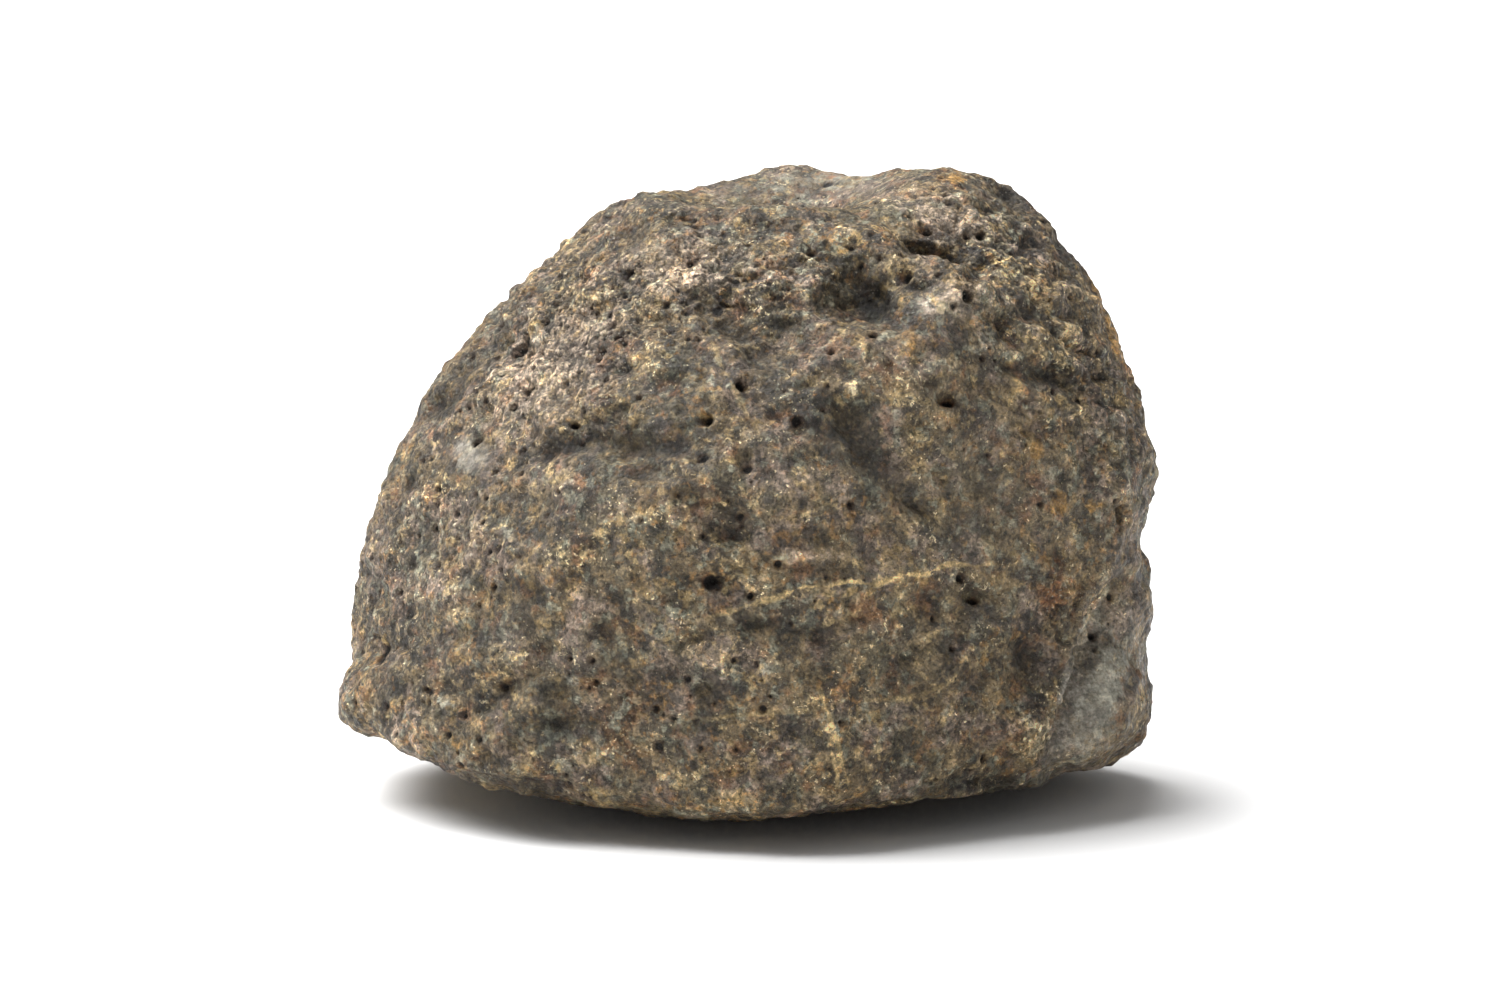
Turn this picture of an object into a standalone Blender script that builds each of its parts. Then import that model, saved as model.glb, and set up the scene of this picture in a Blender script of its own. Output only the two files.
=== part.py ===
"""A chondrite meteorite: one weathered stone, about 82 mm wide, that stands on a small flat spot.

The form is a worn polyhedron. Broken facets lie round a point inside the stone, its heart, and
weathering has rounded the edges between them. The rim of that form is then fitted to the outline
that the stone has from in front. Scoops, lumps, ledges and creases follow, then chips, then the
rough skin, and the pits are sunk last.
The broad bulge of the stone is its front and faces -Y, +X is to the right of it, and +Z is up.
"""

import math
import random

import bmesh
import bpy
import numpy as np
from mathutils import Vector, noise

MM = 0.001

# The whole stone. Its heart is the point that every facet is measured from.
HEART = np.array((0.0, 0.0, 29.2)) * MM
EDGE_WEAR = 1.9 * MM
LEAST_FACING = 1e-3
BALL_SUBDIVISIONS = 8
SOLID_TRIANGLES = 9200
GROUND_OFF = 1.5 * MM
CUT_MERGE = 0.02 * MM

# The eye that sees the outline and the front forms below: how far off it is, how far above level,
# the point that it is turned to, and where that point lies in the eye's own measures, which are
# mm right of and above the middle of the outline's lower edge.
EYE_DISTANCE = 417 * MM
EYE_ABOVE_LEVEL = 8.0
EYE_AIM = np.array((0.5, 0.0, 29.8)) * MM
AIM_SEEN = np.array((0.5, 31.8)) * MM

# How far round the side the forms of the front reach, and how fast they fade there.
FRONT_SHARE_AT_SIDE = 0.35
FRONT_FADE = 2.2

# Each facet: name, azimuth from the front towards +X, elevation, distance from the heart in mm.
FACETS = (
    ("front belly", -14, -3, 30.2),
    ("front middle", 8, 2, 31.2),
    ("front right", 32, 1, 30.4),
    ("front cheek", -35, 9, 31.4),
    ("front left", -54, 10, 31.4),
    ("upper left", -48, 36, 27.5),
    ("upper front", -4, 34, 28.2),
    ("brow", 4, 62, 28.6),
    ("upper right", 46, 40, 35.0),
    ("right shoulder", 86, 42, 42.0),
    ("right flank", 82, 10, 40.4),
    ("right foot", 75, -24, 40.4),
    ("left shoulder", -100, 44, 36.0),
    ("left flank", -98, 14, 38.0),
    ("left foot", -88, -10, 41.5),
    ("top left", -80, 70, 33.5),
    ("top right", 66, 76, 36.2),
    ("crest back", 176, 58, 36.5),
    ("back", 170, 6, 30.5),
    ("back left", -140, 10, 34.5),
    ("back right", 128, -2, 36.0),
    ("back low", -176, -52, 33.0),
    ("under left", -80, -68, 32.6),
    ("under right", 72, -72, 32.4),
    ("under front", -8, -78, 31.2),
    ("base", 0, -90, 31.0),
)

# The outline from in front, in mm right of and above the middle of its lower edge.
OUTLINE = (
    (-41.2, 11.4), (-40.9, 9.8), (-36.2, 7.7), (-32.3, 5.6), (-28.5, 3.6), (-20.0, 1.9),
    (-12.5, 0.9), (-4.5, 0.0), (3.5, 0.1), (10.5, 0.9), (17.5, 1.7), (25.5, 2.6), (31.5, 4.1),
    (35.5, 4.9), (38.3, 6.2), (40.5, 8.7), (41.0, 11.4), (40.2, 16.0), (40.5, 19.0),
    (41.1, 21.8), (40.0, 26.2), (39.6, 28.0),
    (40.4, 30.4), (41.2, 34.3), (40.5, 38.8), (38.0, 45.8), (35.7, 51.8), (33.3, 56.3),
    (30.5, 59.6), (29.2, 61.3), (27.0, 63.1), (22.0, 65.0), (18.5, 65.1),
    (12.5, 64.3), (9.0, 64.4), (4.5, 65.3), (-1.0, 64.0), (-5.5, 62.6), (-10.5, 62.6),
    (-14.5, 60.8), (-19.5, 55.8), (-23.9, 51.8), (-27.8, 47.8), (-31.0, 43.8), (-34.2, 37.8),
    (-36.1, 33.8), (-38.1, 27.8), (-39.1, 21.8), (-39.4, 17.0), (-40.0, 14.0),
)
OUTLINE_BEARINGS = 360
OUTLINE_GRIP = 6.0
OUTLINE_SOFTENING = 5

# Broad forms anywhere on the stone: name, azimuth, elevation, radius and height in mm.
SWELLS = (
    ("crest scoop", 150, 77, 12.5, -8.5),
    ("back rim", 178, 62, 14, 2.2),
    ("back thumbprint", 165, 14, 14, -2.6),
    ("back low thumbprint", -158, -26, 11, -1.8),
    ("back left thumbprint", -128, 30, 12, -2.0),
    ("back right thumbprint", 126, 26, 10, -1.9),
    ("right thumbprint", 96, -12, 9, -1.6),
    ("left thumbprint", -104, 6, 10, -1.4),
    ("top left thumbprint", -110, 58, 9, -1.5),
    ("under thumbprint", 60, -62, 9, -1.2),
)

# Forms on the front, placed as the eye sees them: name, mm right and up, half width, half height,
# turn in degrees from level, and height in mm.
FRONT_FORMS = (
    ("scoop front", 3.0, 59.2, 11.0, 1.8, -3, 1.0),
    ("shoulder brow", 12.5, 56.6, 4.2, 1.6, -5, 1.3),
    ("shoulder knob", 13.8, 54.6, 2.6, 2.4, 0, 1.8),
    ("shoulder arm", 19.2, 52.8, 5.4, 1.8, -30, 2.6),
    ("shoulder hollow", 12.0, 52.2, 3.0, 2.2, 30, -3.0),
    ("shoulder groove", 18.6, 57.0, 4.6, 1.1, -16, -1.6),
    ("shoulder cheek", 19.0, 50.0, 3.4, 2.2, -20, 0.9),
    ("brow ridge left", -8.0, 60.0, 7.0, 2.6, 8, 1.0),
    ("upper hollow", 1.6, 47.6, 4.2, 2.0, -12, -1.4),
    ("upper hollow left", -3.4, 51.2, 3.4, 1.4, -6, -0.9),
    ("cheek hollow", -12.6, 37.4, 4.6, 2.4, -24, -1.6),
    ("cheek boss", -4.0, 34.4, 3.4, 2.2, 30, 0.8),
    ("belly hollow", -1.8, 23.6, 4.2, 1.8, 6, -0.9),
    ("middle hollow", -3.0, 29.4, 4.0, 2.0, -10, -1.0),
    ("belly swelling", -12.0, 16.0, 9.0, 5.0, 20, 0.8),
    ("left crumble", -23.6, 47.2, 3.2, 2.0, 30, -0.8),
    ("left crumble low", -22.0, 30.0, 4.0, 2.6, 50, -0.7),
    ("right hollow", 27.5, 16.0, 3.2, 5.6, -20, -0.8),
    ("right face dish", 23.0, 35.0, 9.0, 8.0, 0, -0.9),
    ("chute head", 38.4, 21.2, 1.9, 5.2, -40, -2.2),
    ("chute", 34.8, 12.0, 2.8, 10.0, -19, -3.7),
    ("chute rim", 31.6, 12.0, 1.7, 10.0, -20, 1.6),
    ("far lobe", 39.6, 11.0, 2.4, 6.0, -12, 1.4),
    ("lip hollow", -37.2, 16.6, 1.8, 1.6, 0, -1.5),
    ("rust hollow", -39.0, 18.8, 1.3, 1.5, 0, -1.0),
    ("under notch", 26.0, 60.6, 3.2, 1.7, -30, -1.5),
)

# Ledges on the front: name, height in mm, reach in mm, and a path of points in mm right and up.
# The stone stands proud on the left of the path as it runs, and drops away on the right.
LEDGES = (
    ("shoulder ledge", 1.5, 2.6, ((24.5, 51.8), (21.8, 55.8), (16.4, 56.6), (12.4, 57.2))),
    ("crest ledge", 0.8, 2.0, ((23.5, 63.2), (26.5, 62.6), (29.4, 61.0))),
    ("scoop rim", 1.2, 2.4, ((15.5, 62.4), (11.0, 60.8), (6.0, 60.5), (0.0, 61.2), (-7.0, 62.4))),
    ("side ledge", 0.7, 1.8, ((28.0, 48.4), (32.0, 48.6), (36.5, 47.4))),
    ("side crack", 0.9, 1.2, ((32.0, 47.4), (34.0, 46.6), (37.0, 45.4))),
    ("side shelf", 0.5, 2.0, ((26.5, 44.0), (31.0, 42.6), (35.5, 41.8))),
    ("middle ledge", 0.7, 2.2, ((-5.5, 51.6), (-1.0, 51.2), (4.5, 52.2))),
    ("brow ledge", 0.6, 1.8, ((-1.5, 54.6), (2.0, 54.2), (6.5, 55.2))),
    ("front crease", 1.4, 3.6, ((21.0, 28.5), (17.0, 31.5), (13.0, 36.5), (10.0, 40.5), (7.0, 43.5))),
    ("left crest ledge", 0.8, 3.0, ((-8.0, 62.0), (-12.5, 58.8), (-16.0, 54.8), (-20.5, 51.4))),
    ("low ledge", 0.5, 2.6, ((13.0, 6.0), (20.0, 7.2), (27.0, 8.6))),
)
LEDGE_STEP = 0.5 * MM

CHIPS = 70
CHIP_SEED = 7
CHIP_DEPTHS = (0.15, 0.75)
CHIP_RISES = (-0.9, 0.95)
CHIP_WEAR = 0.25 * MM

# The rough skin: the size of its features and how high they stand, in mm.
SKIN = ((11.0, 0.9), (5.0, 0.55), (2.4, 0.3))

STONE_COLOUR = 0x766C5C
STONE_ROUGHNESS = 0.82

# Pits on the front that can be told apart: mm right and up, radius and depth in mm.
FRONT_PITS = (
    (0.0, 43.5, 0.8, 0.9), (-4.2, 39.8, 0.8, 0.8), (-16.5, 39.6, 0.7, 0.8), (20.3, 42.0, 0.8, 1.0),
    (22.8, 22.3, 0.8, 1.0), (37.7, 30.3, 0.8, 1.0), (16.0, 56.8, 0.9, 1.1), (16.0, 63.3, 0.9, 0.9),
    (20.8, 59.0, 0.7, 0.8), (18.0, 59.0, 0.7, 0.8), (23.0, 52.2, 0.9, 1.0), (15.2, 54.0, 0.8, 0.9),
    (-36.9, 16.8, 1.0, 1.2), (-24.0, 47.3, 0.9, 0.9), (5.4, 39.0, 0.7, 0.8), (-0.4, 35.8, 0.7, 0.7),
    (32.9, 41.8, 0.7, 0.7), (4.5, 24.8, 0.6, 0.7), (-26.8, 37.9, 0.7, 0.7), (-7.3, 60.2, 0.8, 0.9),
    (37.4, 17.5, 0.6, 0.6), (9.5, 62.0, 0.7, 0.7),
)
LOOSE_PITS = 60
LOOSE_PIT_SEED = 21
LOOSE_PIT_RISES = (-0.8, 1)
LOOSE_PIT_RADII = (0.55, 1.1)


def facing(azimuth, elevation):
    """Unit vector for a bearing from the front and a height above level, in degrees."""
    a, e = math.radians(azimuth), math.radians(elevation)
    return np.array((math.sin(a) * math.cos(e), -math.cos(a) * math.cos(e), math.sin(e)))


EYE_SIDE = facing(0, EYE_ABOVE_LEVEL)
EYE = EYE_AIM + EYE_SIDE * EYE_DISTANCE
EYE_RIGHT = np.array((1.0, 0.0, 0.0))
EYE_UP = np.cross(EYE_SIDE, EYE_RIGHT)


def seen(points):
    """Where the eye sees points: distances right and up in the plane through its aim, and how far off."""
    gaps = points - EYE
    far = -(gaps @ EYE_SIDE)
    across = AIM_SEEN[0] + gaps @ EYE_RIGHT * EYE_DISTANCE / far
    up = AIM_SEEN[1] + gaps @ EYE_UP * EYE_DISTANCE / far
    return across, up, far


def in_front(directions):
    """Fades from 1 where the stone faces the eye to 0 where it faces away from it."""
    return np.clip(FRONT_SHARE_AT_SIDE + FRONT_FADE * (directions @ EYE_SIDE), 0, 1)


def worn_facets(directions):
    """Points where rays from the heart meet the facets, with the edges between them rounded off."""
    reach = []
    for _, azimuth, elevation, distance in FACETS:
        along = np.maximum(directions @ facing(azimuth, elevation), LEAST_FACING)
        reach.append(distance * MM / along)
    reach = np.array(reach)
    nearest = reach.min(axis=0)
    worn = nearest - EDGE_WEAR * np.log(np.exp((nearest - reach) / EDGE_WEAR).sum(axis=0))
    return HEART + directions * worn[:, None]


def fitted_to_outline(points):
    """Stretches the form away from or towards the line of sight until its rim meets the outline."""
    across, up, far = seen(points)
    heart_across, heart_up, _ = seen(HEART[None])
    bearing = np.arctan2(up - heart_up, across - heart_across)
    spread = np.hypot(up - heart_up, across - heart_across)
    step = ((bearing / (2 * math.pi) + 0.5) * OUTLINE_BEARINGS).astype(int) % OUTLINE_BEARINGS
    rim = np.zeros(OUTLINE_BEARINGS)
    np.maximum.at(rim, step, spread)
    bearings = (np.arange(OUTLINE_BEARINGS) + 0.5) / OUTLINE_BEARINGS * 2 * math.pi - math.pi
    wanted = np.array(OUTLINE) * MM - np.array((heart_across[0], heart_up[0]))
    order = np.argsort(np.arctan2(wanted[:, 1], wanted[:, 0]))
    wanted = wanted[order]
    wanted_rim = np.interp(
        bearings,
        np.arctan2(wanted[:, 1], wanted[:, 0]),
        np.hypot(wanted[:, 0], wanted[:, 1]),
        period=2 * math.pi,
    )
    ratios = wanted_rim / rim
    ratios = sum(np.roll(ratios, i - OUTLINE_SOFTENING // 2) for i in range(OUTLINE_SOFTENING))
    ratio = np.interp(bearing, bearings, ratios / OUTLINE_SOFTENING, period=2 * math.pi)
    full = np.interp(bearing, bearings, rim, period=2 * math.pi)
    grip = np.clip(spread / full, 0, 1) ** OUTLINE_GRIP
    stretch = 1 + (ratio - 1) * grip
    sight = (HEART - EYE) / np.linalg.norm(HEART - EYE)
    on_sight = EYE + sight * ((points - EYE) @ sight)[:, None]
    return on_sight + (points - on_sight) * stretch[:, None]


def swollen(points, directions):
    """Raises or sinks the broad forms."""
    for _, azimuth, elevation, radius, height in SWELLS:
        middle = points[(directions @ facing(azimuth, elevation)).argmax()]
        gap = np.linalg.norm(points - middle, axis=1) / (radius * MM)
        bell = np.clip(1 - gap**2, 0, None) ** 2
        points = points + directions * (bell * height * MM)[:, None]
    return points


def front_formed(points, directions):
    """Raises or sinks the forms of the front."""
    across, up, _ = seen(points)
    front = in_front(directions)
    height = np.zeros(len(points))
    for _, right, high, half_width, half_height, turn, amount in FRONT_FORMS:
        c, s = math.cos(math.radians(turn)), math.sin(math.radians(turn))
        x, y = across / MM - right, up / MM - high
        gap = ((x * c + y * s) / half_width) ** 2 + ((y * c - x * s) / half_height) ** 2
        height += amount * MM * np.exp(-gap) * front
    return points + directions * height[:, None]


def off_path(path, across, up):
    """Signed distance from a path, positive on its left, and a fade to 0 at its two ends."""
    nearest = np.full(len(across), np.inf)
    side = np.zeros(len(across))
    share = np.zeros(len(across))
    for i in range(len(path) - 1):
        (x0, y0), (x1, y1) = np.array(path[i]) * MM, np.array(path[i + 1]) * MM
        length = math.hypot(x1 - x0, y1 - y0)
        tx, ty = (x1 - x0) / length, (y1 - y0) / length
        t = np.clip((across - x0) * tx + (up - y0) * ty, 0, length)
        gap = np.hypot(across - x0 - t * tx, up - y0 - t * ty)
        left = np.sign((up - y0) * tx - (across - x0) * ty)
        closer = gap < nearest
        nearest = np.where(closer, gap, nearest)
        side = np.where(closer, left, side)
        share = np.where(closer, (i + t / length) / (len(path) - 1), share)
    return nearest * side, np.clip(4 * share * (1 - share), 0, 1) ** 0.5


def ledged(points, directions):
    """Steps the skin along each ledge, proud on one side and undercut on the other."""
    across, up, _ = seen(points)
    front = in_front(directions)
    height = np.zeros(len(points))
    for _, amount, reach, path in LEDGES:
        side, fade = off_path(path, across, up)
        step = np.tanh(side / LEDGE_STEP)
        height += 0.5 * amount * MM * step * np.exp(-np.abs(side) / (reach * MM)) * fade * front
    return points + directions * height[:, None]


def chipped(points, directions):
    """Knocks small flats off the proudest places."""
    draw = random.Random(CHIP_SEED)
    reach = np.linalg.norm(points - HEART, axis=1)
    for _ in range(CHIPS):
        normal = facing(draw.uniform(-180, 180), math.degrees(math.asin(draw.uniform(*CHIP_RISES))))
        along = np.maximum(directions @ normal, LEAST_FACING)
        flat = ((reach * along).max() - draw.uniform(*CHIP_DEPTHS) * MM) / along
        nearest = np.minimum(reach, flat)
        softened = np.exp((nearest - reach) / CHIP_WEAR) + np.exp((nearest - flat) / CHIP_WEAR)
        reach = nearest - CHIP_WEAR * np.log(softened)
    return HEART + directions * reach[:, None]


def roughened(points, directions):
    """Adds the uneven skin, coarse to fine."""
    height = np.zeros(len(points))
    for size, amount in SKIN:
        height += np.array([noise.noise(Vector(p / (size * MM))) for p in points]) * amount * MM
    return points + directions * height[:, None]


def pitted(points, directions):
    """Sinks the round pits that fallen-out grains have left."""
    across, up, far = seen(points)
    pits = []
    for right, high, radius, depth in FRONT_PITS:
        gap = np.hypot(across - right * MM, up - high * MM) + np.where(far < EYE_DISTANCE, 0, 1)
        pits.append((points[gap.argmin()], radius, depth))
    draw = random.Random(LOOSE_PIT_SEED)
    for _ in range(LOOSE_PITS):
        way = facing(draw.uniform(-180, 180), math.degrees(math.asin(draw.uniform(*LOOSE_PIT_RISES))))
        radius = draw.uniform(*LOOSE_PIT_RADII)
        pits.append((points[(directions @ way).argmax()], radius, radius))
    height = np.zeros(len(points))
    for middle, radius, depth in pits:
        gap = np.linalg.norm(points - middle, axis=1) / (radius * MM)
        height -= depth * MM * np.exp(-(gap**3))
    return points + directions * height[:, None]


def stone_mesh():
    """The whole stone as one closed skin round its heart."""
    shape = bmesh.new()
    bmesh.ops.create_icosphere(shape, subdivisions=BALL_SUBDIVISIONS, radius=1.0)
    directions = np.array([v.co for v in shape.verts])
    directions /= np.linalg.norm(directions, axis=1)[:, None]
    points = fitted_to_outline(worn_facets(directions))
    points = swollen(points, directions)
    points = fitted_to_outline(points)
    points = front_formed(points, directions)
    points = ledged(points, directions)
    points = chipped(points, directions)
    points = roughened(points, directions)
    points = fitted_to_outline(points)
    points = pitted(points, directions)
    for vertex, point in zip(shape.verts, points):
        vertex.co = point
    mesh = bpy.data.meshes.new("meteorite")
    shape.to_mesh(mesh)
    shape.free()
    return mesh


def linear(colour):
    """A linear RGBA colour from an sRGB one written as a hex number."""
    shares = [((colour >> shift) & 0xFF) / 255 for shift in (16, 8, 0)]
    return (*(((share + 0.055) / 1.055) ** 2.4 for share in shares), 1.0)


def weathered_stone():
    """Dull brown-grey: the oxidised crust and matrix of the stone."""
    material = bpy.data.materials.new("weathered_stone")
    material.use_nodes = True
    surface = material.node_tree.nodes["Principled BSDF"]
    surface.inputs["Base Color"].default_value = linear(STONE_COLOUR)
    surface.inputs["Roughness"].default_value = STONE_ROUGHNESS
    surface.inputs["Metallic"].default_value = 0.0
    return material


def thinned(mesh):
    """A lighter copy of a mesh: few triangles where it is flat, more round pits and ledges."""
    stone = bpy.data.objects.new("full_skin", mesh)
    bpy.context.scene.collection.objects.link(stone)
    thin = stone.modifiers.new("thin", "DECIMATE")
    thin.ratio = SOLID_TRIANGLES / len(mesh.polygons)
    seen_by_viewport = stone.evaluated_get(bpy.context.evaluated_depsgraph_get())
    light = bpy.data.meshes.new_from_object(seen_by_viewport)
    bpy.data.objects.remove(stone)
    bpy.data.meshes.remove(mesh)
    light.name = "meteorite"
    return light


def stood_up(mesh):
    """Wears the small flat spot into the underside, and sets the middle of the box over the origin."""
    shape = bmesh.new()
    shape.from_mesh(mesh)
    floor = min(v.co.z for v in shape.verts) + GROUND_OFF
    cut = bmesh.ops.bisect_plane(
        shape,
        geom=shape.verts[:] + shape.edges[:] + shape.faces[:],
        dist=CUT_MERGE,
        plane_co=(0, 0, floor),
        plane_no=(0, 0, 1),
        clear_inner=True,
    )
    rim = [item for item in cut["geom_cut"] if isinstance(item, bmesh.types.BMEdge)]
    for edge in rim:
        for vertex in edge.verts:
            vertex.co.z = floor
    bmesh.ops.contextual_create(shape, geom=rim)
    bmesh.ops.recalc_face_normals(shape, faces=shape.faces[:])
    low = Vector([min(v.co[axis] for v in shape.verts) for axis in range(3)])
    high = Vector([max(v.co[axis] for v in shape.verts) for axis in range(3)])
    middle = (low + high) / 2
    bmesh.ops.translate(shape, verts=shape.verts[:], vec=(-middle.x, -middle.y, -low.z))
    shape.to_mesh(mesh)
    shape.free()
    print("Moved by, in mm:", [round(c / MM, 2) for c in (-middle.x, -middle.y, -low.z)])


def main():
    for item in list(bpy.data.objects):
        bpy.data.objects.remove(item)
    mesh = thinned(stone_mesh())
    stood_up(mesh)
    mesh.materials.append(weathered_stone())
    stone = bpy.data.objects.new("meteorite", mesh)
    bpy.context.scene.collection.objects.link(stone)


main()
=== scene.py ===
# %% Load the solid stone that everything here is built on
import math

import bmesh
import bpy
import numpy as np
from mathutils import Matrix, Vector, kdtree, noise


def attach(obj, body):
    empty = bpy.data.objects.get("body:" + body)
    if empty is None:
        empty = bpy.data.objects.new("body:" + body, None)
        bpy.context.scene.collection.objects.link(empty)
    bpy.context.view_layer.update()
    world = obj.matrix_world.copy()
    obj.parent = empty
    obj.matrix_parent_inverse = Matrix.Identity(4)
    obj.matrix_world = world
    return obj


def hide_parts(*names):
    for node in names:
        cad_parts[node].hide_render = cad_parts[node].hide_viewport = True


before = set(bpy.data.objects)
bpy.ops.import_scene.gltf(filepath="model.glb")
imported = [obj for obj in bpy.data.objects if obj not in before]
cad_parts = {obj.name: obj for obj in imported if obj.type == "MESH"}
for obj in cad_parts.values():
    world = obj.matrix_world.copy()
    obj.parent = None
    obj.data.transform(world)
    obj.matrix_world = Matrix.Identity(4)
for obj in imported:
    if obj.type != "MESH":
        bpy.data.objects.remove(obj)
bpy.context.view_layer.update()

MM = 0.001

# %% [markdown]
# # A chondrite meteorite
#
# A chondrite is a stony meteorite: a rock of small round grains, the chondrules, packed in a fine
# matrix. This one has lain in soil long enough to rust. Its surface is brown-grey, flecked with
# tan and rust, and full of little pits where grains have fallen out.
#
# The solid that is loaded above has the stone's outline, facets, scoops and ledges, but its
# triangles are 2 mm wide. This lesson gives it a skin of about 0.4 mm triangles with the finer
# relief as real geometry, and then one procedural material for the weathered finish.

# %% [markdown]
# ## The camera
#
# The stone is seen level from its front, 8 degrees from above, through a long lens. Places on the
# front are easiest to give as the picture shows them: mm to the right of and above the middle of
# the stone's lower edge. One function turns a point in space into those two numbers.

# %% Place the camera
EYE_DISTANCE = 417 * MM
EYE_ABOVE_LEVEL = math.radians(8)
EYE_AIM = np.array((0.23, -1.46, 29.81)) * MM
AIM_SEEN = np.array((0.5, 31.8))
LENS = 100
FILM_WIDTH = 36
NEAREST_DRAWN = 10 * MM

eye_side = np.array((0, -math.cos(EYE_ABOVE_LEVEL), math.sin(EYE_ABOVE_LEVEL)))
eye_right = np.array((1.0, 0.0, 0.0))
eye_up = np.cross(eye_side, eye_right)
eye = EYE_AIM + eye_side * EYE_DISTANCE

camera = bpy.data.objects.new("camera", bpy.data.cameras.new("camera"))
bpy.context.scene.collection.objects.link(camera)
camera.data.lens = LENS
camera.data.sensor_width = FILM_WIDTH
camera.data.clip_start = NEAREST_DRAWN
camera.location = eye
camera.rotation_euler = Vector(-eye_side).to_track_quat("-Z", "Y").to_euler()
bpy.context.scene.camera = camera
print("the frame is", round(EYE_DISTANCE * FILM_WIDTH / LENS / MM), "mm wide at the stone")


def seen(points):
    """Where the camera sees points: mm to the right and up in the picture, and metres from the eye."""
    gaps = points - eye
    far = -(gaps @ eye_side)
    across = AIM_SEEN[0] + gaps @ eye_right * EYE_DISTANCE / far / MM
    up = AIM_SEEN[1] + gaps @ eye_up * EYE_DISTANCE / far / MM
    return across, up, far


# %% [markdown]
# ## One helper for nodes
#
# Materials and the world are node trees. One small function adds a node, sets its properties, and
# fills its inputs with values or with links from other nodes. Inputs go by their names, or simply
# in the node's own order, which keeps a sum on one line. The inputs of a soft step, for one, are a
# value, where the step starts and ends, and what it gives below and above.

# %% Colours and nodes
def linear(colour):
    """A linear RGBA colour from an sRGB hex value."""
    shares = [((colour >> shift) & 0xFF) / 255 for shift in (16, 8, 0)]
    return (*((s / 12.92 if s <= 0.04045 else ((s + 0.055) / 1.055) ** 2.4) for s in shares), 1.0)


def add(tree, kind, inputs=(), **settings):
    """Adds a node and gives back its outputs; each input is a value or an output to link from."""
    made = tree.nodes.new(kind)
    for name, value in settings.items():
        setattr(made, name, value)
    by_socket = inputs if isinstance(inputs, dict) else dict(enumerate(inputs))
    for socket, value in by_socket.items():
        if isinstance(value, bpy.types.NodeSocket):
            tree.links.new(value, made.inputs[socket])
        else:
            made.inputs[socket].default_value = value
    return made.outputs


# Settings that many nodes share: a soft step, a mix of colours, and noise with a fourth number.
SOFT = {"interpolation_type": "SMOOTHSTEP"}
COLOURS = {"data_type": "RGBA"}
FOURTH = {"noise_dimensions": "4D"}

# %% [markdown]
# ## Floor and light
#
# A product photographer lights a dark stone with one soft light on white paper, and exposes until
# the paper is pure white. Here the sky does it: dim all round, and bright in one wide patch high on
# the left, a little behind the stone. Light that rakes down the front shows every pit and ledge,
# and the white paper throws enough back up to open the shadows.

# %% Lay the floor
FLOOR_HALF_WIDTH = 15.0
PAPER = 0xF2F2F2

shape = bmesh.new()
bmesh.ops.create_grid(shape, x_segments=1, y_segments=1, size=FLOOR_HALF_WIDTH)
floor_mesh = bpy.data.meshes.new("floor")
shape.to_mesh(floor_mesh)
shape.free()
floor = bpy.data.objects.new("floor", floor_mesh)
bpy.context.scene.collection.objects.link(floor)
paper = bpy.data.materials.new("white_paper")
paper.use_nodes = True
paper_surface = paper.node_tree.nodes["Principled BSDF"]
paper_surface.inputs["Base Color"].default_value = linear(PAPER)
paper_surface.inputs["Roughness"].default_value = 1.0
paper_surface.inputs["Specular IOR Level"].default_value = 0.0
floor_mesh.materials.append(paper)
print("the floor is", 2 * FLOOR_HALF_WIDTH, "m wide")

# %% Light the sky
SOFTBOX_SIDE = Vector((-0.43, 0.16, 0.89)).normalized()
SOFTBOX_EDGE = 0.82
SOFTBOX_FULL = 0.97
SKY_LOW = 0.34
SKY_HIGH = 11.5

world = bpy.data.worlds.new("studio")
world.use_nodes = True
bpy.context.scene.world = world
sky = world.node_tree
way = add(sky, "ShaderNodeTexCoord")["Generated"]
towards = add(sky, "ShaderNodeVectorMath", (way, SOFTBOX_SIDE), operation="DOT_PRODUCT")["Value"]
limits = (towards, SOFTBOX_EDGE, SOFTBOX_FULL, SKY_LOW, SKY_HIGH)
glow = add(sky, "ShaderNodeMapRange", limits, **SOFT)["Result"]
background = sky.nodes["Background"]
background.inputs["Color"].default_value = (1, 1, 1, 1)
sky.links.new(glow, background.inputs["Strength"])
bpy.context.scene.view_settings.view_transform = "Standard"
print("the sky runs from", SKY_LOW, "near the horizon to", SKY_HIGH, "in the softbox")

# %% [markdown]
# ## A fine skin from the solid
#
# The solid's triangles are loose and uneven. A copy is merged into one skin, a voxel remesh lays
# an even net of small squares over it, and smoothing takes off the flat facets that the solid's
# triangles left. An even net matters: the relief that comes next is as fine everywhere.

# %% Merge, remesh and smooth
MERGE = 0.001 * MM
NET = 0.25 * MM
SMOOTHING = 0.5
SMOOTHING_ROUNDS = 8

skin = bmesh.new()
skin.from_mesh(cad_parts["meteorite"].data)
bmesh.ops.remove_doubles(skin, verts=skin.verts[:], dist=MERGE)
merged = bpy.data.meshes.new("merged")
skin.to_mesh(merged)
skin.free()
netted = bpy.data.objects.new("netted", merged)
bpy.context.scene.collection.objects.link(netted)
remesh = netted.modifiers.new("net", "REMESH")
remesh.mode = "VOXEL"
remesh.voxel_size = NET
smooth = netted.modifiers.new("smooth", "SMOOTH")
smooth.factor = SMOOTHING
smooth.iterations = SMOOTHING_ROUNDS
finished = netted.evaluated_get(bpy.context.evaluated_depsgraph_get())
net_mesh = bpy.data.meshes.new_from_object(finished)
bpy.data.objects.remove(netted)
print("the net has", len(net_mesh.vertices), "points")

# %% Read the net
# How the front of the stone fades round its sides: the value where the skin is side-on to the
# camera, and how fast it rises where the skin turns towards it.
FRONT_FADE = (0.35, 2.2)


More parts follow.
